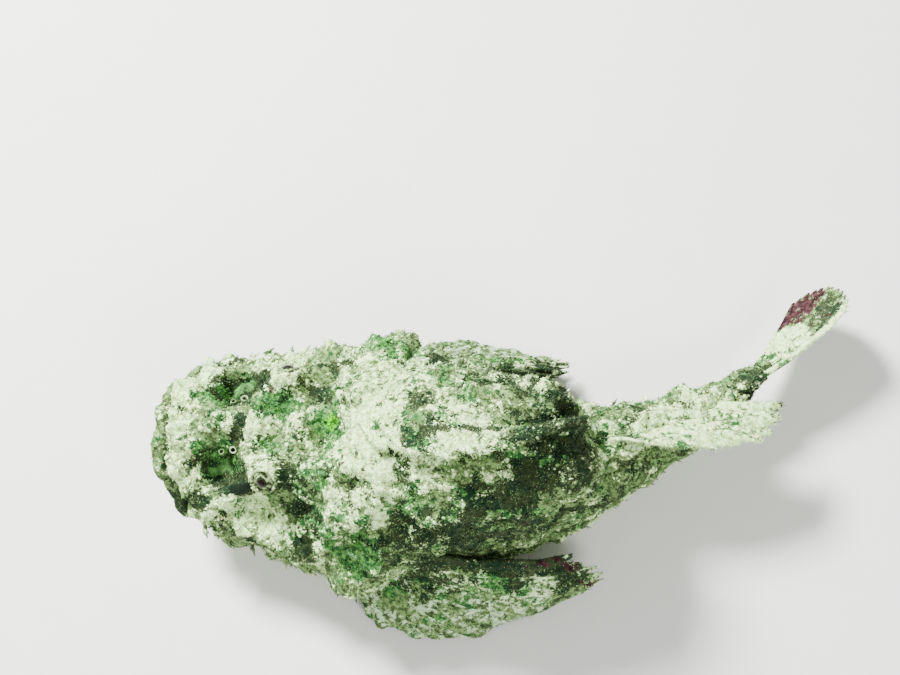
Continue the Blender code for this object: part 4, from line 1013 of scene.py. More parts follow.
class Ground:
    """A surface that small growth is set on: its triangles and what its vertices carry."""

    FIELDS = {
        "fish": ("vector", 3), "lie": ("vector", 3), "unwrap": ("vector", 3),
        "marks": ("color", 4), "more": ("color", 4), "reach": ("value", 1),
    }

    def __init__(self, obj, tile=(0.0, 0.0, 1.0)):
        mesh = obj.data
        mesh.calc_loop_triangles()
        corners = np.empty(3 * len(mesh.loop_triangles), np.int32)
        mesh.loop_triangles.foreach_get("vertices", corners)
        self.corners = corners.reshape(-1, 3)
        count = len(mesh.vertices)
        self.fields = {"place": self.read(mesh.vertices, "co", count, 3)}
        self.fields["normal"] = self.read(mesh.vertex_normals, "vector", count, 3)
        for key, (kind, width) in self.FIELDS.items():
            self.fields[key] = self.read(mesh.attributes[key].data, kind, count, width)
        self.fields["unwrap"] = self.fields["unwrap"] * tile[2] + np.array((tile[0], tile[1], 0.0))
        a, b, c = (self.fields["place"][self.corners[:, k]] for k in range(3))
        self.area = np.linalg.norm(np.cross(b - a, c - a), axis=1) / 2 / MM**2
        self.middle = {key: values[self.corners].mean(axis=1) for key, values in self.fields.items()}

    @staticmethod
    def read(data, kind, count, width):
        values = np.empty(count * width, np.float32)
        data.foreach_get(kind, values)
        return values.reshape(count, width).astype(float)

    def scatter(self, per_square_mm, weight, draw, most=100000):
        """Random spots, so many for each square millimetre where the weight is 1, up to a most."""
        likely = self.area * np.clip(weight(self.middle), 0.0, None)
        count = min(int(per_square_mm * likely.sum()), most)
        chosen = draw.choice(len(likely), size=count, p=likely / likely.sum())
        a, b = draw.random((2, count))
        over = a + b > 1.0
        a[over], b[over] = 1.0 - a[over], 1.0 - b[over]
        share = np.stack([1.0 - a - b, a, b], axis=1)[:, :, None]
        corners = self.corners[chosen]
        return {key: (values[corners] * share).sum(axis=1) for key, values in self.fields.items()}


def join_spots(groups):
    return {key: np.concatenate([spots[key] for spots in groups]) for key in groups[0]}


def whip(bm, foot, tip, radius, profile, sides=3, flat=1.0, sag=0.0):
    """A closed, tapered filament, spine or leaf from foot to tip, with a share of the radius at each step."""
    foot, tip = Vector(foot), Vector(tip)
    made = bmesh.ops.create_circle(bm, cap_ends=True, segments=sides, radius=radius * profile[0])
    ring = made["verts"]
    bmesh.ops.scale(bm, verts=ring, vec=(1.0, flat, 1.0))
    bmesh.ops.translate(bm, verts=ring, vec=foot)
    edges = list({e for v in ring for e in v.link_edges})
    middle, last = foot, len(profile)
    for k in range(1, last + 1):
        t = k / last
        after = foot.lerp(tip, t) + Vector((sag * t * (1.0 - t) * 4.0, 0.0, 0.0))
        out = bmesh.ops.extrude_edge_only(bm, edges=edges)["geom"]
        ring = [g for g in out if isinstance(g, bmesh.types.BMVert)]
        edges = [g for g in out if isinstance(g, bmesh.types.BMEdge) and all(v in ring for v in g.verts)]
        bmesh.ops.translate(bm, verts=ring, vec=after - middle)
        if k < last:
            share = profile[k] / profile[k - 1]
            bmesh.ops.scale(bm, verts=ring, vec=(share,) * 3, space=Matrix.Translation(-after))
        middle = after
    bmesh.ops.pointmerge(bm, verts=ring, merge_co=middle)


def shape_of(bm):
    """Arrays of a small shape's points and triangles, with its height from 0 to 1."""
    bmesh.ops.recalc_face_normals(bm, faces=bm.faces)
    bmesh.ops.triangulate(bm, faces=bm.faces)
    bm.verts.index_update()
    points = np.array([v.co[:] for v in bm.verts])
    faces = np.array([[v.index for v in f.verts] for f in bm.faces])
    bm.free()
    top = max(points[:, 2].max(), 1e-6)
    return points, faces, np.clip(points[:, 2] / top, 0.0, 1.0)


# How many different grains, tufts and leaves there are, and what each is made of.
GRAIN_KINDS = 8
GRAIN_RUGGED = 0.42
TUFT_KINDS = 6
TUFT_BLADES = 3
TUFT_PROFILE = (1.0, 0.8)
LEAF_KINDS = 5
LEAF_LOBES = 2
LEAF_PROFILE = (0.8, 1.0, 1.15, 0.95, 0.6)
LOBE_PROFILE = (1.0, 1.1, 0.8)


def grain_shapes(seed):
    """Irregular little lumps of crust about 1 across."""
    draw, shapes = random.Random(seed), []
    for _ in range(GRAIN_KINDS):
        bm = bmesh.new()
        bmesh.ops.create_icosphere(bm, subdivisions=1, radius=0.5)
        for v in bm.verts:
            v.co *= 1.0 + draw.uniform(-GRAIN_RUGGED, GRAIN_RUGGED)
            v.co.z = v.co.z * 0.75 + 0.12
        shapes.append(shape_of(bm))
    return shapes


def tuft_shapes(seed, spread, radius):
    """Small tufts of filaments about 1 high."""
    draw, shapes = random.Random(seed), []
    for _ in range(TUFT_KINDS):
        bm = bmesh.new()
        for k in range(TUFT_BLADES):
            turn = 2 * math.pi * (k + draw.random()) / TUFT_BLADES
            out = spread * draw.uniform(0.4, 1.0)
            foot = (0.12 * math.cos(turn), 0.12 * math.sin(turn), -0.1)
            tip = (out * math.cos(turn), out * math.sin(turn), draw.uniform(0.6, 1.0))
            whip(bm, foot, tip, radius * draw.uniform(0.8, 1.2), TUFT_PROFILE, sag=draw.uniform(-0.15, 0.15))
        shapes.append(shape_of(bm))
    return shapes


def leaf_shapes(seed):
    """Flat flaps of skin about 1 long with small side lobes."""
    draw, shapes = random.Random(seed), []
    for _ in range(LEAF_KINDS):
        bm = bmesh.new()
        tip = (draw.uniform(-0.2, 0.2), 0, 1.0)
        whip(bm, (0, 0, -0.15), tip, 0.13, LEAF_PROFILE, sides=5, flat=0.4, sag=draw.uniform(0.0, 0.2))
        for side in range(LEAF_LOBES):
            way = 1 if side % 2 else -1
            rise = draw.uniform(0.25, 0.5)
            tip = (0.2 * way, draw.uniform(-0.1, 0.1), rise + 0.3)
            whip(bm, (0.05 * way, 0, rise - 0.2), tip, 0.07, LOBE_PROFILE, sides=4, flat=0.5)
        shapes.append(shape_of(bm))
    return shapes


# The size of a copy's patch on the unwrap, how far its tip goes there, and its least height over the floor.
UNWRAP_PATCH = 0.003
UNWRAP_TIP = 0.0005
GROWTH_FLOOR_GAP = 0.0001


def joined_mesh(name, points, faces, uv):
    """A mesh from arrays of points, of triangles and of each point's place on the unwrap."""
    mesh = bpy.data.meshes.new(name)
    mesh.vertices.add(len(points))
    mesh.vertices.foreach_set("co", points.ravel().astype(np.float32))
    mesh.loops.add(faces.size)
    mesh.loops.foreach_set("vertex_index", faces.ravel().astype(np.int32))
    mesh.polygons.add(len(faces))
    mesh.polygons.foreach_set("loop_start", np.arange(0, faces.size, 3, dtype=np.int32))
    mesh.update(calc_edges=True)
    mesh.uv_layers.new(name="OFBake").data.foreach_set("uv", uv[faces.ravel()].ravel().astype(np.float32))
    return mesh


def plant(name, shapes, spots, size, draw, lean=0.3, stretch=(1.0, 1.0), twist=math.pi, tint=0.25, sink=0.0):
    """Sets copies of small shapes on spots of a surface and joins them into one piece.

    size holds each copy's size in millimetres, and lean bends the tips along the lie. stretch is the range of
    height to width, and twist the range of turns about the surface's normal.
    """
    total = len(size)
    kind = draw.integers(len(shapes), size=total)
    up = unit(spots["normal"] + 0.25 * draw.normal(size=(total, 3)))
    side = unit(np.cross(up, spots["lie"]))
    ahead = np.cross(side, up)
    turn = draw.uniform(-twist, twist, total)[:, None]
    front = ahead * np.cos(turn) + side * np.sin(turn)
    right = side * np.cos(turn) - ahead * np.sin(turn)
    tall = draw.uniform(*stretch, total)
    bend = lean * draw.uniform(0.4, 1.3, total)
    carried = (spots["marks"], spots["more"], draw.uniform(-1.0, 1.0, total) * tint)
    points, faces, places, fields, first = [], [], [], [], 0
    for k, (shape, triangles, tips) in enumerate(shapes):
        pick = np.flatnonzero(kind == k)
        if not len(pick):
            continue
        local = shape[None] * size[pick, None, None]
        rise = local[:, :, 2:] * tall[pick, None, None] - sink * size[pick, None, None]
        swing = bend[pick, None] * tips[None] ** 2 * size[pick, None] * tall[pick, None]
        world = spots["place"][pick, None] + MM * (
            local[:, :, :1] * front[pick, None]
            + local[:, :, 1:2] * right[pick, None]
            + rise * up[pick, None]
            + swing[:, :, None] * ahead[pick, None]
        )
        world[:, :, 2] = np.maximum(world[:, :, 2], GROWTH_FLOOR_GAP)
        points.append(world.reshape(-1, 3))
        step = np.arange(len(pick))[:, None, None] * len(shape)
        faces.append((triangles[None] + step + first).reshape(-1, 3))
        flat = (shape[:, :2] - shape[:, :2].mean(axis=0)) / max(np.ptp(shape[:, :2]), 1e-6) * UNWRAP_PATCH
        uv = spots["unwrap"][pick, None, :2] + flat[None] + tips[None, :, None] * np.array((0.0, UNWRAP_TIP))
        places.append(uv.reshape(-1, 2))
        rows = [np.repeat(values[pick], len(shape), axis=0) for values in carried]
        fields.append((*rows, np.tile(tips, len(pick))))
        first += len(pick) * len(shape)
    mesh = joined_mesh(name, *(np.concatenate(column) for column in (points, faces, places)))
    marks, more, tints, tips = (np.concatenate(column) for column in zip(*fields))
    carry(mesh, {"marks": marks, "more": more, "tint": tints, "outer": tips})
    return finish_piece(name, mesh)


class Wire:
    """A node's output that can stand in Python arithmetic."""

    def __init__(self, book, socket):
        self.book, self.socket = book, socket

    def math(self, operation, a, b):
        return self.book.node("ShaderNodeMath", {"operation": operation}, {0: a, 1: b})

    def __add__(self, other):
        return self.math("ADD", self, other)

    def __radd__(self, other):
        return self.math("ADD", other, self)

    def __sub__(self, other):
        return self.math("SUBTRACT", self, other)

    def __rsub__(self, other):
        return self.math("SUBTRACT", other, self)

    def __mul__(self, other):
        return self.math("MULTIPLY", self, other)

    def __rmul__(self, other):
        return self.math("MULTIPLY", other, self)


class Book:
    """A material's nodes."""

    def __init__(self, name):
        self.material = bpy.data.materials.new(name)
        self.material.use_nodes = True
        self.tree = self.material.node_tree
        self.shader = self.tree.nodes["Principled BSDF"]

    def node(self, kind, settings=None, values=None, output=0):
        """Any node, from its type, its settings and the values or links of its sockets."""
        made = self.tree.nodes.new(kind)
        for key, value in (settings or {}).items():
            setattr(made, key, value)
        for key, value in (values or {}).items():
            self.feed(made.inputs[key], value)
        return Wire(self, made.outputs[output])

    def feed(self, socket, value):
        if isinstance(value, Wire):
            self.tree.links.new(value.socket, socket)
        else:
            socket.default_value = value

    def place(self):
        return self.node("ShaderNodeTexCoord", output="Object")

    def noise(self, place, size, detail=2.0, rough=0.55):
        """Noise around 0.5 with lumps of a size in millimetres."""
        values = {"Vector": place, "Scale": 1.0 / (size * MM), "Detail": detail, "Roughness": rough}
        return self.node("ShaderNodeTexNoise", None, values, "Fac")

    def attribute(self, name, output="Color"):
        return self.node("ShaderNodeAttribute", {"attribute_name": name}, None, output)

    def split(self, colour):
        parts = self.tree.nodes.new("ShaderNodeSeparateColor")
        self.feed(parts.inputs[0], colour)
        return [Wire(self, parts.outputs[k]) for k in range(3)]

    def rise(self, value, low, high):
        """0 below low, 1 above high, and smooth between."""
        values = {"Value": value, "From Min": low, "From Max": high}
        return self.node("ShaderNodeMapRange", {"interpolation_type": "SMOOTHSTEP"}, values)

    def mix(self, share, a, b, blend="MIX"):
        values = {0: share, 6: a, 7: b}
        return self.node("ShaderNodeMix", {"data_type": "RGBA", "blend_type": blend}, values, 2)

    def lay(self, under, over, value, low, high, strength=1.0):
        """One colour laid over another where a value rises from low to high."""
        share = self.rise(value, low, high)
        return self.mix(share if strength == 1.0 else share * strength, under, over)

    def surface(self, colour, roughness, height=None, bump=0.0, **constants):
        self.feed(self.shader.inputs["Base Color"], colour)
        self.feed(self.shader.inputs["Roughness"], roughness)
        if height is not None:
            values = {"Height": height, "Distance": bump * MM, "Strength": 1.0}
            self.feed(self.shader.inputs["Normal"], self.node("ShaderNodeBump", None, values))
        for key, value in constants.items():
            self.shader.inputs[key.replace("_", " ")].default_value = value
        return self.material


def shade(colour, factor=1.0):
    """A colour as four numbers, made lighter or darker."""
    return (*(min(1.0, c * factor) for c in colour), 1.0)


# The fine, gritty, broad and middling noises of the fish's materials: lump size in millimetres, and detail.
FISH_NOISES = ((1.5, 3.0), (0.5, 2.0), (4.5, 3.0), (2.4, 3.0))


def fish_material(name, tones, bump, lace=1.0, dust=0.0, push=(0.0, 0.0, 0.0)):
    """Mottled living crust: bare olive skin under cream crust, green algae, dark and rusty patches, and
    painted shade.

    lace is how finely the markings break up, and dust how pale the tips of growth are. push shifts how much
    is white, green and dark.
    """
    book = Book(name)
    place = book.place()
    white, green, dark = (part + shift for part, shift in zip(book.split(book.attribute("marks")), push))
    rusty, cool = book.attribute("marks", "Alpha"), book.attribute("more", "Alpha")
    # deep carries the shade mask: painted shade in the mouth and gill grooves, the lid pockets, the hollow by
    # the left eye and on the knob in the right pit.
    vivid, deep, clean = book.split(book.attribute("more"))
    fine, grit, broad, other = (book.noise(place, size, detail) for size, detail in FISH_NOISES)
    tint = book.attribute("tint", "Fac")
    break_up = (fine - 0.5) * (1.2 * lace) + (grit - 0.5) * (0.5 * lace) + (broad - 0.5) * lace + tint
    break_dark = (other - 0.5) * (1.6 * lace) - (grit - 0.5) * (0.5 * lace) - tint * 0.8

    bare = book.lay(shade(tones.olive, 0.45), shade(tones.olive, 1.45), fine * 0.6 + grit * 0.4, 0.42, 0.58)
    bare = book.lay(bare, shade(tones.soot_brown, 2.0), broad, 0.5, 0.62, 0.4)
    cream = book.lay(shade(tones.cream_shade), shade(tones.cream), fine + tint * 0.6, 0.3, 0.68)
    cream = book.lay(cream, shade(tones.sand), other, 0.52, 0.66, 0.4)
    # Slate where the cool mask lies: on the side fins it is partly their own blue-grey and partly painted
    # shade.
    slate = book.mix(fine, shade(tones.slate, 0.6), shade(tones.slate, 1.3))
    cream = book.mix(cool * 0.75, cream, slate)
    moss = book.lay(shade(tones.moss_deep), shade(tones.moss), fine + tint, 0.38, 0.68)
    moss = book.lay(moss, shade(tones.mint), grit + broad * 0.6, 0.86, 0.98, 0.6)
    # A smooth pale green film where the skin is bare; in the left pit it carries the painted highlight.
    film = book.mix(fine, shade(tones.moss, 0.55), shade(tones.mint, 0.42))
    moss = book.lay(moss, film, clean, 0.3, 0.8, 0.75)
    soot = book.lay(shade(tones.soot), shade(tones.soot_brown), broad, 0.42, 0.6)
    soot = book.lay(soot, shade(tones.cream_shade, 0.8), grit + other * 0.4, 0.83, 0.9, 0.7)
    soot = book.lay(soot, shade(tones.moss, 0.3), fine * 0.5 + grit * 0.5, 0.57, 0.65, 0.5)
    rust = book.lay(shade(tones.rust, 0.35), shade(tones.rust, 1.5), fine, 0.35, 0.65)

    look = book.lay(bare, cream, white + break_up, 0.4, 0.6)
    look = book.lay(look, moss, green - break_up * 0.8, 0.42, 0.62)
    look = book.lay(look, soot, dark + break_dark, 0.4, 0.6, 0.97)
    look = book.lay(look, rust, rusty + break_dark * 0.8, 0.4, 0.56, 0.96)
    look = book.lay(look, shade(tones.vivid), vivid + break_up * 0.8, 0.42, 0.62)
    # Painted shade: near-black where the shade mask lies.
    look = book.lay(look, shade(tones.soot, 0.35), deep, 0.25, 0.85, 0.9)
    if dust:
        look = book.mix(book.attribute("outer", "Fac") * dust, look, shade(tones.cream))
    lighten = 0.82 + fine * 0.35 + tint * 0.5
    grey = book.node("ShaderNodeCombineColor", None, {0: lighten, 1: lighten, 2: lighten})
    look = book.mix(1.0, look, grey, "MULTIPLY")
    height = fine * 0.6 + grit * 0.4
    return book.surface(look, 0.66 + grit * 0.3, height, bump, IOR=1.42, Specular_IOR_Level=0.12)


def eye_material(tones):
    """A dark pupil in a dim mottled iris, under a clear gloss. The rings lie at degrees from the gaze."""
    book = Book("eye")
    turn = book.attribute("turn", "Fac")
    values = {"Vector": book.attribute("iris", "Vector"), "Scale": 5.0, "Detail": 3.0, "Roughness": 0.6}
    streak = book.node("ShaderNodeTexNoise", None, values, "Fac")
    mottle = book.noise(book.place(), 0.7, 2.0)
    iris = book.lay(shade(tones.iris_dark), shade(tones.iris), streak * 0.5 + mottle * 0.5, 0.44, 0.56)
    fleck = book.noise(book.place(), 1.1, 2.0)
    outer = book.rise(turn + mottle * 6.0, 21.0, 27.0) * book.rise(fleck, 0.44, 0.58)
    iris = book.mix(outer * 0.75, iris, shade(tones.cream_shade, 0.8))
    # Painted shade under the lids: dark green on the eyeball beyond 43 degrees from the gaze.
    iris = book.lay(iris, shade(tones.moss_deep, 0.4), turn + mottle * 8.0, 43.0, 49.0)
    look = book.lay(shade(tones.pupil), iris, turn + mottle * 2.0, 13.5, 15.5)
    return book.surface(look, 0.16, mottle, 0.03, IOR=1.2)


def nostril_material(tones):
    book = Book("nostril")
    fine = book.noise(book.place(), 0.5, 2.0)
    skin = book.lay(shade(tones.moss_deep), shade(tones.olive, 1.4), fine, 0.35, 0.65)
    look = book.mix(book.attribute("pale", "Fac"), skin, shade(tones.cream, 0.85))
    # Painted shade: near-black down each tube's bore.
    look = book.mix(book.attribute("inside", "Fac"), look, shade(tones.soot, 0.3))
    return book.surface(look, 0.6 + fine * 0.2, fine, 0.1)


def floor_material(tones):
    book = Book("pale_floor")
    fine = book.noise(book.place(), 18.0, 3.0)
    look = book.lay(shade(tones.floor, 0.985), shade(tones.floor), fine, 0.3, 0.7)
    return book.surface(look, 0.85 + fine * 0.1)


def colour_property(name, description, default):
    return bpy.props.FloatVectorProperty(
        name=name, description=description, default=default, subtype="COLOR", size=3, min=0.0, max=1.0
    )


def length_property(name, description, millimetres):
    return bpy.props.FloatProperty(
        name=name, description=description, default=millimetres * MM, unit="LENGTH", min=0.0, precision=5
    )


class StonefishSizes(bpy.types.PropertyGroup):
    """Sizes of the finish"""

    skin_depth: length_property("Skin depth", "How far the bare skin lies inside the solid model", 0.9)
    grain: length_property("Crust grain", "Width of a usual grain of crust", 0.85)
    algae: length_property("Algae", "Length of a usual tuft of algae", 1.2)
    fuzz: length_property("Fuzz", "Length of the pale fuzz", 1.5)
    flap: length_property("Skin flap", "Length of a usual flap of skin", 1.9)
    camera_height: length_property("Camera height", "Height of the camera over the floor", 502.5)


class StonefishColours(bpy.types.PropertyGroup):
    """Colours of the finish"""

    cream: colour_property("Cream", "Lightest crust", (0.70, 0.94, 0.47))
    cream_shade: colour_property("Cream shade", "Darker parts of the crust", (0.37, 0.53, 0.22))
    sand: colour_property("Sand", "Yellower parts of the crust", (0.62, 0.66, 0.22))
    # Slate is also painted shade on the side fins, as well as their cooler crust.
    slate: colour_property("Slate", "Cooler crust of the side fins", (0.31, 0.46, 0.31))
    olive: colour_property("Olive", "Bare skin", (0.135, 0.225, 0.075))
    moss: colour_property("Moss", "Light green algae", (0.105, 0.31, 0.055))
    moss_deep: colour_property("Deep moss", "Dark green algae", (0.018, 0.085, 0.024))
    mint: colour_property("Mint", "Palest green algae", (0.27, 0.58, 0.20))
    vivid: colour_property("Bright green", "The brightest green patch", (0.10, 0.44, 0.006))
    # Dark green also colours the painted shade in grooves, lid pockets and nostril bores.
    soot: colour_property("Dark green", "Darkest patches", (0.006, 0.020, 0.009))
    soot_brown: colour_property("Dark brown", "Browner dark patches", (0.021, 0.033, 0.012))
    rust: colour_property("Rust", "Purple and rusty bands", (0.046, 0.011, 0.019))
    iris: colour_property("Iris", "Light parts of the iris", (0.022, 0.036, 0.014))
    iris_dark: colour_property("Dark iris", "Dark parts of the iris", (0.006, 0.010, 0.005))
    pupil: colour_property("Pupil", "The pupil", (0.010, 0.005, 0.003))
    floor: colour_property("Floor", "The pale floor", (0.78, 0.78, 0.74))


def settings(context):
    return context.scene.stonefish_sizes, context.scene.stonefish_colours


def piece(name):
    """A piece that was made before."""
    found = bpy.data.objects.get(name)
    if found is None or found.data is None:
        raise ValueError(f"{name} has to be made first")
    return found


def dress(obj, material, slot, *nodes):
    """Gives a piece its material, and hides the solids that it stands for."""
    obj.data.materials.clear()
    obj.data.materials.append(material)
    if nodes:
        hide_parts(*nodes)


class STONEFISH_OT_skin(bpy.types.Operator):
    """Make the skin over the head, jaw, trunk and tail stalk"""

    bl_idname = "stonefish.skin"
    bl_label = "Skin"

    def execute(self, context):
        sizes, tones = settings(context)
        material = fish_material("skin", tones, 0.22, push=(-0.1, 0.0, 0.05))
        dress(make_skin(sizes), material, "skin", "head", "lower_jaw", "torso", "tail_stalk")
        return {"FINISHED"}


class STONEFISH_OT_eyes(bpy.types.Operator):
    """Make both eyes"""

    bl_idname = "stonefish.eyes"
    bl_label = "Eyes"

    def execute(self, context):
        material = eye_material(settings(context)[1])
        for side, word in ((-1, "left"), (1, "right")):
            dress(make_eye(side, "eyeball_" + word), material, "eye", "eye_" + word)
        return {"FINISHED"}


class STONEFISH_OT_nostrils(bpy.types.Operator):
    """Make the four nostril tubes"""

    bl_idname = "stonefish.nostrils"
    bl_label = "Nostrils"

    def execute(self, context):
        dress(make_nostrils(), nostril_material(settings(context)[1]), "skin")
        return {"FINISHED"}


class STONEFISH_OT_fins(bpy.types.Operator):
    """Make all the fins"""

    bl_idname = "stonefish.fins"
    bl_label = "Fins"

    def execute(self, context):
        material = fish_material("fin", settings(context)[1], 0.16, lace=0.9, push=(-0.04, 0.0, 0.0))
        for name, rays, marks, form in fin_plans():
            dress(make_fin(name + "_skin", rays, form, marks), material, "fin", name)
        return {"FINISHED"}


# The parts of the body that each kind of growth is split into, with their limits along the fish.
COAT_PARTS = {
    "crust": (("head", 0.0, 66.0), ("back", 66.0, 112.0), ("hump", 112.0, 150.0), ("stalk", 150.0, 220.0)),
    "algae": (("front", 0.0, 80.0), ("rear", 80.0, 220.0)),
    "fuzz": (("front", 0.0, 84.0), ("rear", 84.0, 220.0)),
}
FIN_NAMES = (
    "spiny_dorsal_fin", "soft_dorsal_fin", "caudal_fin", "anal_fin",
    "pectoral_fin_left", "pectoral_fin_right", "pelvic_fin_left", "pelvic_fin_right",
)
FIN_TILES = 3


def fin_grounds():
    """Each fin as a ground, with its own tile of the unwrap."""
    tile = 1.0 / FIN_TILES
    for k, name in enumerate(FIN_NAMES):
        yield name, Ground(piece(name + "_skin"), (tile * (k % FIN_TILES), tile * (k // FIN_TILES), tile))


def exposed(middle):
    """1 on the sides and top of the body, and 0 under it and inside the mouth and lids."""
    return smooth(-0.75, -0.3, middle["normal"][:, 2]) * fall(0.2, 0.6, middle["more"][:, 1])


def away_from_eyes(middle):
    clear = np.ones(len(middle["fish"]))
    for side in (-1, 1):
        centre, gaze = eye_place(side)
        clear *= smooth(3.8, 5.0, np.linalg.norm(middle["fish"] - centre - EYE_RADIUS * gaze, axis=1))
    return clear


def cover(kind, material, shapes, share, density, fin_density, length, spread, seed, **form):
    """Sets one kind of small growth on the parts of the body and on the fins.

    share gives how much grows at spots, and spread the sizes from random numbers, as shares of the length.
    """
    most = PIECE_LIMIT // max(len(faces) for _, faces, _ in shapes) - 1
    body = Ground(piece("skin"))
    for k, (part, low, high) in enumerate(COAT_PARTS[kind]):

        def likely(middle):
            inside = (middle["fish"][:, 0] >= low) & (middle["fish"][:, 0] < high)
            return inside * exposed(middle) * away_from_eyes(middle) * share(middle)

        draw = np.random.default_rng(seed + k)
        spots = body.scatter(density, likely, draw, most)
        size = length * spread(draw.random(len(spots["place"])), spots)
        dress(plant(f"{kind}_{part}", shapes, spots, size, draw, **form), material, "skin")
    groups = []
    for k, (name, ground) in enumerate(fin_grounds()):
        rate = fin_density.get(name, fin_density["other"])
        groups.append(ground.scatter(rate, share, np.random.default_rng(seed + 30 + k)))
    spots, draw = join_spots(groups), np.random.default_rng(seed + 40)
    size = 0.85 * length * spread(draw.random(len(spots["place"])), spots)
    dress(plant(kind + "_fins", shapes, spots, size, draw, **form), material, "fin")


class STONEFISH_OT_crust(bpy.types.Operator):
    """Set the grains of pale crust and sand on the skin and fins"""

    bl_idname = "stonefish.crust"
    bl_label = "Crust"

    def execute(self, context):
        sizes, tones = settings(context)
        material = fish_material("crust", tones, 0.08, lace=0.4, push=(0.1, -0.04, -0.04))

        def share(spots):
            return (0.25 + 1.1 * spots["marks"][:, 0] ** 1.4) * (1.0 - 0.95 * spots["more"][:, 2])

        cover(
            "crust", material, grain_shapes(5), share,
            density=1.7, fin_density={"spiny_dorsal_fin": 2.0, "other": 0.22},
            length=sizes.grain / MM, spread=lambda r, spots: 0.4 + 0.75 * r**2 + 0.6 * r**9,
            seed=100, lean=0.0, stretch=(0.5, 1.1), sink=0.1,
        )
        return {"FINISHED"}


class STONEFISH_OT_algae(bpy.types.Operator):
    """Set the tufts of green and dark algae on the skin and fins"""

    bl_idname = "stonefish.algae"
    bl_label = "Algae"

    def execute(self, context):
        sizes, tones = settings(context)
        material = fish_material("algae", tones, 0.05, lace=0.35, push=(-0.15, 0.3, 0.08))

        def share(spots):
            grown = 0.05 + 1.1 * spots["marks"][:, 1] ** 1.5 + 0.55 * spots["marks"][:, 2]
            return grown * (1.0 - 0.95 * spots["more"][:, 2])

        cover(
            "algae", material, tuft_shapes(11, 0.6, 0.062), share,
            density=1.9, fin_density={"spiny_dorsal_fin": 1.5, "other": 0.19},
            length=sizes.algae / MM, spread=lambda r, spots: 0.4 + 0.85 * r**1.5,
            seed=200, lean=0.6, stretch=(0.6, 1.2),
        )
        return {"FINISHED"}


class STONEFISH_OT_fuzz(bpy.types.Operator):
    """Set the pale fuzz on the crusted skin and the soft dorsal fin"""

    bl_idname = "stonefish.fuzz"
    bl_label = "Fuzz"

    def execute(self, context):
        sizes, tones = settings(context)
        material = fish_material("fuzz", tones, 0.05, lace=0.35, dust=0.35, push=(0.2, 0.0, -0.06))

        def share(spots):
            grown = 0.04 + spots["marks"][:, 0] ** 2 + 0.06 * spots["marks"][:, 2]
            return grown * (1.0 - 0.9 * spots["more"][:, 2]) * (1.0 + 1.5 * spots["reach"][:, 0] ** 3)

        cover(
            "fuzz", material, tuft_shapes(19, 0.7, 0.06), share,
            density=0.95, fin_density={"soft_dorsal_fin": 1.1, "spiny_dorsal_fin": 1.0, "other": 0.14},
            length=sizes.fuzz / MM,
            spread=lambda r, spots: (0.35 + 0.75 * r**1.5) * (1.0 + 0.7 * spots["reach"][:, 0] ** 2),
            seed=300, lean=0.5, stretch=(0.5, 1.1),
        )
        return {"FINISHED"}


# Tassels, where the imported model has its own: a seed, then each one's station, angle in degrees and length.
TASSEL_ROWS = (
    (5, ((5.2, 78, 4.6), (6.6, 86, 5.0), (7.9, 80, 4.6), (9.2, 84, 5.0), (6.2, 24, 3.2))),
    (7, ((13.4, 66, 4.6), (14.6, 60, 5.0), (15.8, 62, 4.6), (17.0, 66, 4.4), (14.2, 44, 4.0))),
    (9, ((18.8, 72, 4.2), (19.7, 76, 4.0), (20.6, 78, 3.6))),
    (11, ((2.6, 108, 4.4), (3.6, 118, 4.8), (4.4, 124, 4.8), (2.2, 150, 4.0), (3.2, 150, 4.4))),
)
TASSEL_SHARE = 0.9
# Skull spines: station, angle in degrees and length.
SPINE_ROWS = (
    (6.9, 22, 3.6), (8.9, 20, 4.4), (9.9, 40, 4.4), (5.9, 72, 3.6), (7.1, 70, 4.0),
    (8.2, 82, 4.6), (8.5, 95, 4.6), (8.5, 108, 4.0), (10.3, 60, 4.6), (10.5, 76, 4.6),
)


# How far the bare skin lies inside the solid model where tassels and spines grow, in millimetres.
ROOT_DEPTH = 0.9


def body_spots(rows):
    """Spots on the finished skin at rows of station, angle in degrees and outward lean in fish space."""
    u = np.array([row[0] for row in rows])
    angle = np.radians([row[1] for row in rows])
    points, masks = finished_skin(u, angle, ROOT_DEPTH)
    way = unit(body_normals(u, angle) + np.array([row[2] for row in rows]))
    spots = {"place": pose(points), "normal": posed_direction(points, way), "fish": points}
    spots["lie"] = posed_direction(points, (1.0, 0.0, 0.0))
    spots["unwrap"] = skin_unwrap(u, angle)
    spots.update(marks_of(masks))
    return spots


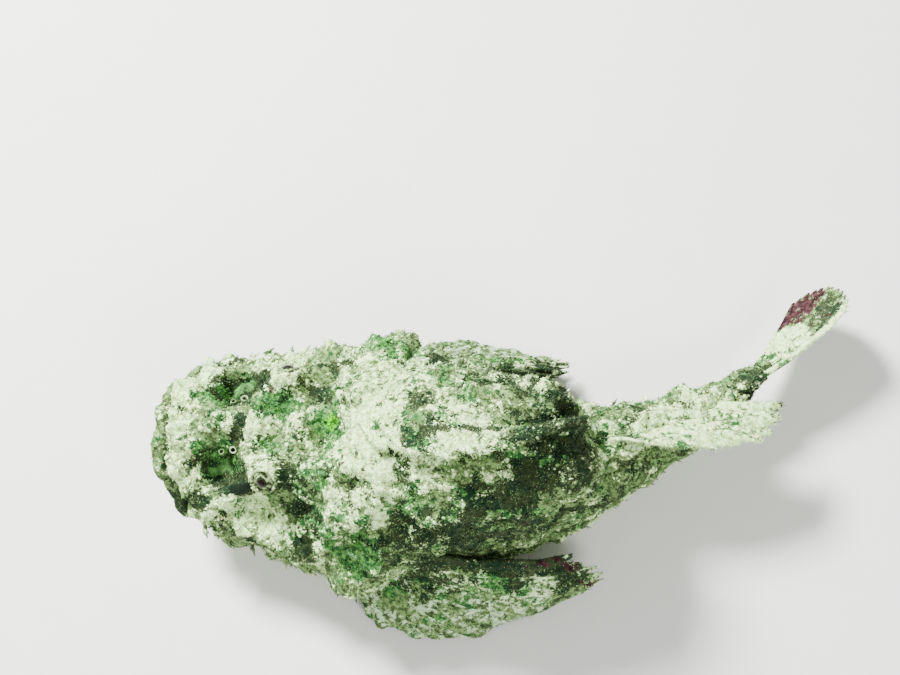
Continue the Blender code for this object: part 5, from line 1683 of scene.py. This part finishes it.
class STONEFISH_OT_flaps(bpy.types.Operator):
    """Set the large tassels and the small flaps of skin"""

    bl_idname = "stonefish.flaps"
    bl_label = "Skin flaps"

    def execute(self, context):
        sizes, tones = settings(context)
        material = fish_material("flap", tones, 0.08, lace=0.5, dust=0.2)
        rows, lengths = [], []
        for seed, tassels in TASSEL_ROWS:
            draw = random.Random(seed)
            for u, angle, length in tassels:
                for side in (-1, 1):
                    place = u + draw.uniform(-0.06, 0.06)
                    lean = (draw.uniform(0.3, 0.9), 0.0, draw.uniform(-0.5, 0.1))
                    lengths.append(length * draw.uniform(0.8, 1.2))
                    # Drawn for the flap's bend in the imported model, and kept so that the draws stay in step.
                    draw.uniform(-0.2, 0.3)
                    rows.append((place, angle * side, lean))
        draw = np.random.default_rng(400)
        shapes = leaf_shapes(23)
        size = np.array(lengths) * TASSEL_SHARE
        spots = body_spots(rows)
        made = plant("tassels", shapes, spots, size, draw, lean=0.2, stretch=(0.9, 1.1), twist=0.9)
        dress(made, material, "skin")

        def likely(middle):
            edge = middle["marks"][:, 0] * (1 - middle["marks"][:, 0]) * 3 + 0.12
            return exposed(middle) * edge * away_from_eyes(middle) * smooth(4.0, 9.0, middle["fish"][:, 2])

        spots = Ground(piece("skin")).scatter(0.03, likely, draw)
        size = sizes.flap / MM * (0.4 + 0.8 * draw.random(len(spots["place"])))
        made = plant("small_flaps", shapes, spots, size, draw, lean=0.5, stretch=(0.7, 1.1), twist=1.2)
        dress(made, material, "skin")
        return {"FINISHED"}


class STONEFISH_OT_skull_spines(bpy.types.Operator):
    """Set the short spines on the skull, which point back and out"""

    bl_idname = "stonefish.skull_spines"
    bl_label = "Skull spines"

    def execute(self, context):
        rows = [(u, angle * side, (1.3, 0.0, 0.15)) for u, angle, _ in SPINE_ROWS for side in (-1, 1)]
        length = np.array([row[2] for row in SPINE_ROWS for _ in (-1, 1)])
        bm = bmesh.new()
        whip(bm, (0, 0, -0.25), (0, 0, 1.0), 0.32, (1.1, 0.95, 0.75, 0.55, 0.38, 0.2), 10)
        draw = np.random.default_rng(500)
        spots = body_spots(rows)
        material = fish_material("spine", settings(context)[1], 0.08, lace=0.6)
        dress(plant("skull_spines", [shape_of(bm)], spots, length, draw, lean=0.25), material, "skin")
        return {"FINISHED"}


class STONEFISH_OT_stage(bpy.types.Operator):
    """Make the pale floor, the soft lights and the camera"""

    bl_idname = "stonefish.stage"
    bl_label = "Stage"

    def execute(self, context):
        sizes, tones = settings(context)
        bm = bmesh.new()
        bmesh.ops.create_grid(bm, x_segments=2, y_segments=2, size=FLOOR_HALF)
        mesh = bpy.data.meshes.new("floor")
        bm.to_mesh(mesh)
        bm.free()
        floor = bpy.data.objects.new("floor", mesh)
        context.scene.collection.objects.link(floor)
        mesh.materials.append(floor_material(tones))
        make_lights(context)
        make_camera(context, sizes.camera_height)
        return {"FINISHED"}


# Lights: name, place, size and power.
LIGHTS = (
    ("key_light", (-0.46, 0.50, 0.72), 0.26, 46.0),
    ("fill_light", (0.35, -0.65, 0.70), 0.4, 9.0),
)
WORLD_LIGHT = 0.52
FLOOR_HALF = 1.6
AIM = (0.02, 0.0, 0.03)


def make_lights(context):
    for name, place, size, power in LIGHTS:
        light = bpy.data.lights.new(name, "AREA")
        light.shape = "DISK"
        light.size = size
        light.energy = power
        obj = bpy.data.objects.new(name, light)
        obj.location = place
        obj.rotation_euler = (Vector(AIM) - Vector(place)).to_track_quat("-Z", "Y").to_euler()
        context.scene.collection.objects.link(obj)
    world = bpy.data.worlds.new("soft_room")
    world.use_nodes = True
    world.node_tree.nodes["Background"].inputs["Color"].default_value = (1.0, 1.0, 1.0, 1.0)
    world.node_tree.nodes["Background"].inputs["Strength"].default_value = WORLD_LIGHT
    context.scene.world = world


CAMERA_PLACE = (0.0102, -0.1279)
CAMERA_TILT = 20.0
CAMERA_LENS = 60.0
SENSOR_WIDTH = 36.0


def make_camera(context, height):
    data = bpy.data.cameras.new("camera")
    data.lens = CAMERA_LENS
    data.sensor_width = SENSOR_WIDTH
    camera = bpy.data.objects.new("camera", data)
    camera.location = (*CAMERA_PLACE, height)
    camera.rotation_euler = (math.radians(CAMERA_TILT), 0.0, 0.0)
    context.scene.collection.objects.link(camera)
    context.scene.camera = camera


class STONEFISH_PT_panel(bpy.types.Panel):
    """Lists the sizes, the colours and the steps"""

    bl_label = "False Stonefish"
    bl_idname = "STONEFISH_PT_panel"
    bl_space_type = "VIEW_3D"
    bl_region_type = "UI"
    bl_category = "Stonefish"

    def draw(self, context):
        for group in settings(context):
            box = self.layout.box()
            for name in group.__annotations__:
                box.prop(group, name)
        for operator in STEPS:
            self.layout.operator(operator.bl_idname)


STEPS = (
    STONEFISH_OT_stage, STONEFISH_OT_skin, STONEFISH_OT_eyes, STONEFISH_OT_nostrils, STONEFISH_OT_fins,
    STONEFISH_OT_crust, STONEFISH_OT_algae, STONEFISH_OT_fuzz, STONEFISH_OT_flaps, STONEFISH_OT_skull_spines,
)
CLASSES = (StonefishSizes, StonefishColours, *STEPS, STONEFISH_PT_panel)


def register():
    for cls in CLASSES:
        bpy.utils.register_class(cls)
    bpy.types.Scene.stonefish_sizes = bpy.props.PointerProperty(type=StonefishSizes)
    bpy.types.Scene.stonefish_colours = bpy.props.PointerProperty(type=StonefishColours)


def unregister():
    del bpy.types.Scene.stonefish_colours
    del bpy.types.Scene.stonefish_sizes
    for cls in reversed(CLASSES):
        bpy.utils.unregister_class(cls)


def main():
    register()
    for operator in STEPS:
        getattr(bpy.ops.stonefish, operator.bl_idname.split(".")[1])()


if __name__ == "__main__":
    main()
